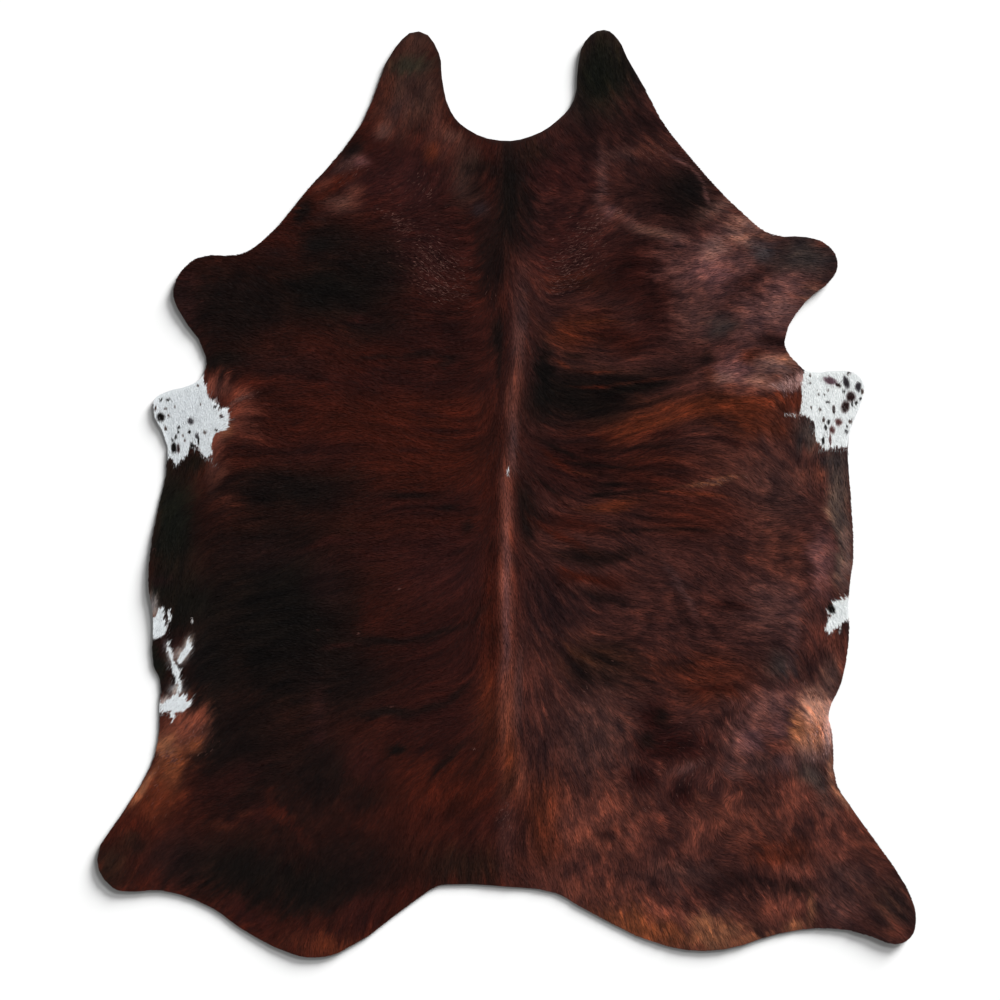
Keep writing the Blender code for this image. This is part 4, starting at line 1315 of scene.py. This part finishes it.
@dataclass
class Coat:
    """The hair, as short flat locks in a few joined pieces, and the pale hairs over it,
    most of them glints that paint a highlight of the hair's sheen.

    Attributes:
        spacing: metres between the roots of neighbouring locks, on the body and where it's white.
        length: a lock's length, on the body and where it's white.
        width: how wide a lock is.
        depth: how high a lock rises over the leather.
        overhang: how far tips may reach past the trimmed edge.
        flap_margin: pixels by which the white flaps' short hair reaches past their white.
        names: the coat's pieces, from the tail to the neck.
    """

    leather: Leather
    lie: HairLie
    spacing: tuple[float, float] = (0.00308, 0.0021)
    length: tuple[float, float] = (0.0165, 0.0078)
    width: tuple[float, float] = (0.0012, 0.0021)
    depth: float = 0.0031
    overhang: float = 0.0012
    flap_margin: float = 1.5
    names: tuple[str, ...] = ("coat_hindquarters", "coat_loin", "coat_ribs", "coat_shoulders",
                              "coat_neck")

    def strewn(self, spacing: float, seed: int) -> np.ndarray:
        """Strews roots evenly over the hide.

        Args:
            spacing: metres from one to the next.
            seed: which random draws it takes.

        Returns:
            One row of across and along for each root.
        """
        low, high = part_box("hide")
        random = np.random.default_rng(seed)
        across, along = np.meshgrid(np.arange(low[0], high[0], spacing),
                                    np.arange(low[1], high[1], spacing))
        roots = np.stack([across.ravel(), along.ravel()], 1)
        roots += random.uniform(-0.6, 0.6, roots.shape) * spacing
        inside = self.leather.edge.chart.read(self.leather.edge.inside, *roots.T)
        return roots[inside > 0.0006]

    def build(self) -> list[bpy.types.Object]:
        """Makes the coat's pieces.

        Returns:
            One object for each stretch of the hide, from tail to neck, and the pale hairs.
        """
        marks = self.leather.markings
        body, flaps = (self.strewn(spacing, 31) for spacing in self.spacing)
        roots = np.concatenate([body[marks.patch_depth(*body.T) < -self.flap_margin],
                                flaps[marks.patch_depth(*flaps.T) >= -self.flap_margin]])
        ground = self.leather.heights()
        finish = HairFinish().material()
        borders = np.quantile(roots[:, 1], np.linspace(0, 1, len(self.names) + 1))
        borders[-1] += 1
        parts = {}
        for number, name in enumerate(self.names):
            chosen = (roots[:, 1] >= borders[number]) & (roots[:, 1] < borders[number + 1])
            parts[name] = self.locks(roots[chosen], 40 + number)
        parts["pale_hairs"] = self.pale_hairs()
        pieces = []
        for number, (name, strands) in enumerate(parts.items()):
            mesh = strands.mesh(name, self.leather.edge.chart, ground, 60 + number)
            mesh.materials.append(finish)
            piece = bpy.data.objects.new(name, mesh)
            bpy.context.scene.collection.objects.link(piece)
            pieces.append(piece)
            LOG.info("%s: %d strands", name, len(strands.root))
        return pieces

    def lay(self, root: np.ndarray, stray: np.ndarray) -> np.ndarray:
        """Gives the way that the hair lies at each root, in radians.

        Args:
            root: where each strand starts.
            stray: degrees by which each strays from the lie.

        Returns:
            Each strand's turn, anticlockwise from straight right.
        """
        chart = self.leather.edge.chart
        way_x, way_y = (chart.read(layer, *root.T) for layer in self.lie.direction)
        return np.arctan2(way_y, way_x) + np.radians(stray)

    def clipped(self, root: np.ndarray, turn: np.ndarray, length: np.ndarray) -> np.ndarray:
        """Shortens strands that would reach past the trimmed edge.

        Args:
            root: where each starts.
            turn: which way each points.
            length: how long each would be.

        Returns:
            How long each is.
        """
        way = np.stack([np.cos(turn), np.sin(turn)], 1)
        edge = self.leather.edge
        for _ in range(5):
            tip = root + way * length[:, None]
            room = edge.chart.read(edge.inside, *tip.T) + self.overhang
            length = np.where(room < 0, np.maximum(length + room * 1.1, 0.0012), length)
        return length

    def locks(self, root: np.ndarray, seed: int) -> Strands:
        """Grows one piece's locks.

        Args:
            root: where each starts.
            seed: which random draws it takes.

        Returns:
            The locks.
        """
        random = np.random.default_rng(seed)
        count = len(root)
        marks, edge = self.leather.markings, self.leather.edge
        white = marks.patch_depth(*root.T) > -1.0
        turn = self.lay(root, random.normal(0, 7, count))
        length = np.where(white, self.length[1], self.length[0]) * random.uniform(0.75, 1.25, count)
        length = self.clipped(root, turn, length)
        width = random.uniform(*self.width, count) * np.where(white, 0.8, 1.0)
        inside = edge.chart.read(edge.inside, *root.T)
        rise = self.depth * (0.35 + 0.65 * (inside / self.leather.rim).clip(0, 1))
        rise = rise * random.uniform(0.55, 1.1, count)
        middle = root + np.stack([np.cos(turn), np.sin(turn)], 1) * (length * 0.6)[:, None]
        pallor = random.normal(0.5, 0.12, count).clip(0, 1)
        return Strands(root, turn, length, width, rise, marks.at(*middle.T), pallor)

    def pale_hairs(self) -> Strands:
        """Grows the pale hairs that lie over the coat in a few places, most of them glints that
        paint a highlight of the hair's sheen.

        Returns:
            The hairs.
        """
        random = np.random.default_rng(51)
        roots, shades = [], []
        # Painted highlight: blush hairs mixed up from taupe are glints of the hair's sheen.
        for place in SPARKLES:
            turn, away = radians(place.turn), random.normal(0, 0.5, (int(2.2 * place.hairs), 2))
            length, width = away[:, 0] * place.half_length, away[:, 1] * place.half_width
            px = place.px + length * np.cos(turn) - width * np.sin(turn)
            py = place.py - length * np.sin(turn) - width * np.cos(turn)
            roots.append(np.stack(self.leather.markings.plan.to_hide(px, py), 1))
            share = random.uniform(0, 1, (len(away), 1)) ** place.dimness
            shades.append(Shade.TAUPE.colour * (1 - share) + place.shade.colour * share)
        root, marking = np.concatenate(roots), np.concatenate(shades)
        edge = self.leather.edge
        kept = edge.chart.read(edge.inside, *root.T) > 0.006
        root, marking = root[kept], marking[kept]
        count = len(root)
        turn = self.lay(root, random.normal(0, 16, count))
        length = self.clipped(root, turn, random.uniform(0.005, 0.011, count))
        return Strands(root, turn, length, random.uniform(0.0003, 0.0007, count),
                       np.full(count, self.depth * 1.08), marking,
                       random.uniform(0.3, 0.9, count), (0.80, 1.0, 0.95))


@dataclass
class Studio:
    """The plain floor, the soft light and the camera straight above.

    Attributes:
        camera_height: metres over the floor.
        floor_size: the floor's side.
        floor_shade: how much light the floor gives back.
        frame_pixels: the picture's side.
    """

    plan: PhotoPlan
    camera_height: float = 9.0
    floor_size: float = 60.0
    floor_shade: float = 0.34
    frame_pixels: int = 1000
    floor: bpy.types.Object = field(init=False)

    def build(self) -> None:
        """Sets the stage."""
        self.lay_floor()
        self.hang_camera()
        self.set_light()

    def lay_floor(self) -> None:
        """Lays a plain white floor just under the hide."""
        bm = bmesh.new()
        bmesh.ops.create_grid(bm, x_segments=1, y_segments=1, size=self.floor_size / 2)
        bmesh.ops.translate(bm, verts=bm.verts, vec=(0, 0, -0.0004))
        mesh = bpy.data.meshes.new("floor")
        bm.to_mesh(mesh)
        bm.free()
        floor = bpy.data.objects.new("floor", mesh)
        material = bpy.data.materials.new("white_floor")
        material.use_nodes = True
        shader = material.node_tree.nodes["Principled BSDF"]
        shader.inputs["Base Color"].default_value = (*[self.floor_shade] * 3, 1)
        shader.inputs["Roughness"].default_value = 0.9
        shader.inputs["Specular IOR Level"].default_value = 0.1
        mesh.materials.append(material)
        bpy.context.scene.collection.objects.link(floor)
        self.floor = floor

    def hang_camera(self) -> None:
        """Hangs the camera so that the photograph's pixels fall where they do there."""
        data = bpy.data.cameras.new("camera")
        data.sensor_width = 36.0
        data.lens = data.sensor_width * self.camera_height / (self.frame_pixels * self.plan.pixel)
        data.clip_end = 200.0
        camera = bpy.data.objects.new("camera", data)
        across, along = self.plan.to_hide(self.frame_pixels / 2, self.frame_pixels / 2)
        camera.location = (across, along, self.camera_height)
        bpy.context.scene.collection.objects.link(camera)
        bpy.context.scene.camera = camera

    def set_light(self) -> None:
        """Sets a white surround, a key from the upper right and a low light for the floor."""
        self.add_sun("key", azimuth=48, elevation=46, strength=2.1, softness=14)
        low = self.add_sun("floor_light", azimuth=51, elevation=18, strength=21.2, softness=26)
        floor_only = bpy.data.collections.new("lit_floor")
        floor_only.objects.link(self.floor)
        low.light_linking.receiver_collection = floor_only
        world = bpy.data.worlds.new("surround")
        world.use_nodes = True
        world.node_tree.nodes["Background"].inputs["Color"].default_value = (1, 1, 1, 1)
        world.node_tree.nodes["Background"].inputs["Strength"].default_value = 0.5
        bpy.context.scene.world = world
        bpy.context.scene.view_settings.view_transform = "Standard"

    @staticmethod
    def add_sun(name: str, azimuth: float, elevation: float, strength: float,
                softness: float) -> bpy.types.Object:
        """Adds a distant light.

        Args:
            name: its name.
            azimuth: where it stands, in degrees anticlockwise from straight right.
            elevation: how high it stands, in degrees.
            strength: its strength.
            softness: how wide it looks, in degrees.

        Returns:
            The light.
        """
        data = bpy.data.lights.new(name, "SUN")
        data.energy = strength
        data.angle = radians(softness)
        light = bpy.data.objects.new(name, data)
        light.matrix_world = Matrix.Rotation(radians(azimuth), 4, "Z") @ Matrix.Rotation(
            radians(90 - elevation), 4, "Y")
        bpy.context.scene.collection.objects.link(light)
        return light


def main() -> None:
    """Dresses the rug and sets the stage."""
    logging.basicConfig(level=logging.INFO, format="%(message)s")
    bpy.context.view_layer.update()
    plan = PhotoPlan()
    chart = Chart()
    edge = Edge(chart)
    lie = HairLie(chart, plan)
    markings = Markings(chart, plan, lie)
    LOG.info("chart of %d by %d cells, %d edge points", *chart.shape, len(edge.ring))

    leather = Leather(edge, markings)
    skin = leather.build()
    skin.data.materials.append(LeatherFinish().material())
    LOG.info("leather: %d faces", len(skin.data.polygons))
    hair = Coat(leather, lie).build()

    for piece in (skin, *hair):
        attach(piece, "root")
    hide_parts("hide")

    Studio(plan).build()


if __name__ == "__main__":
    main()
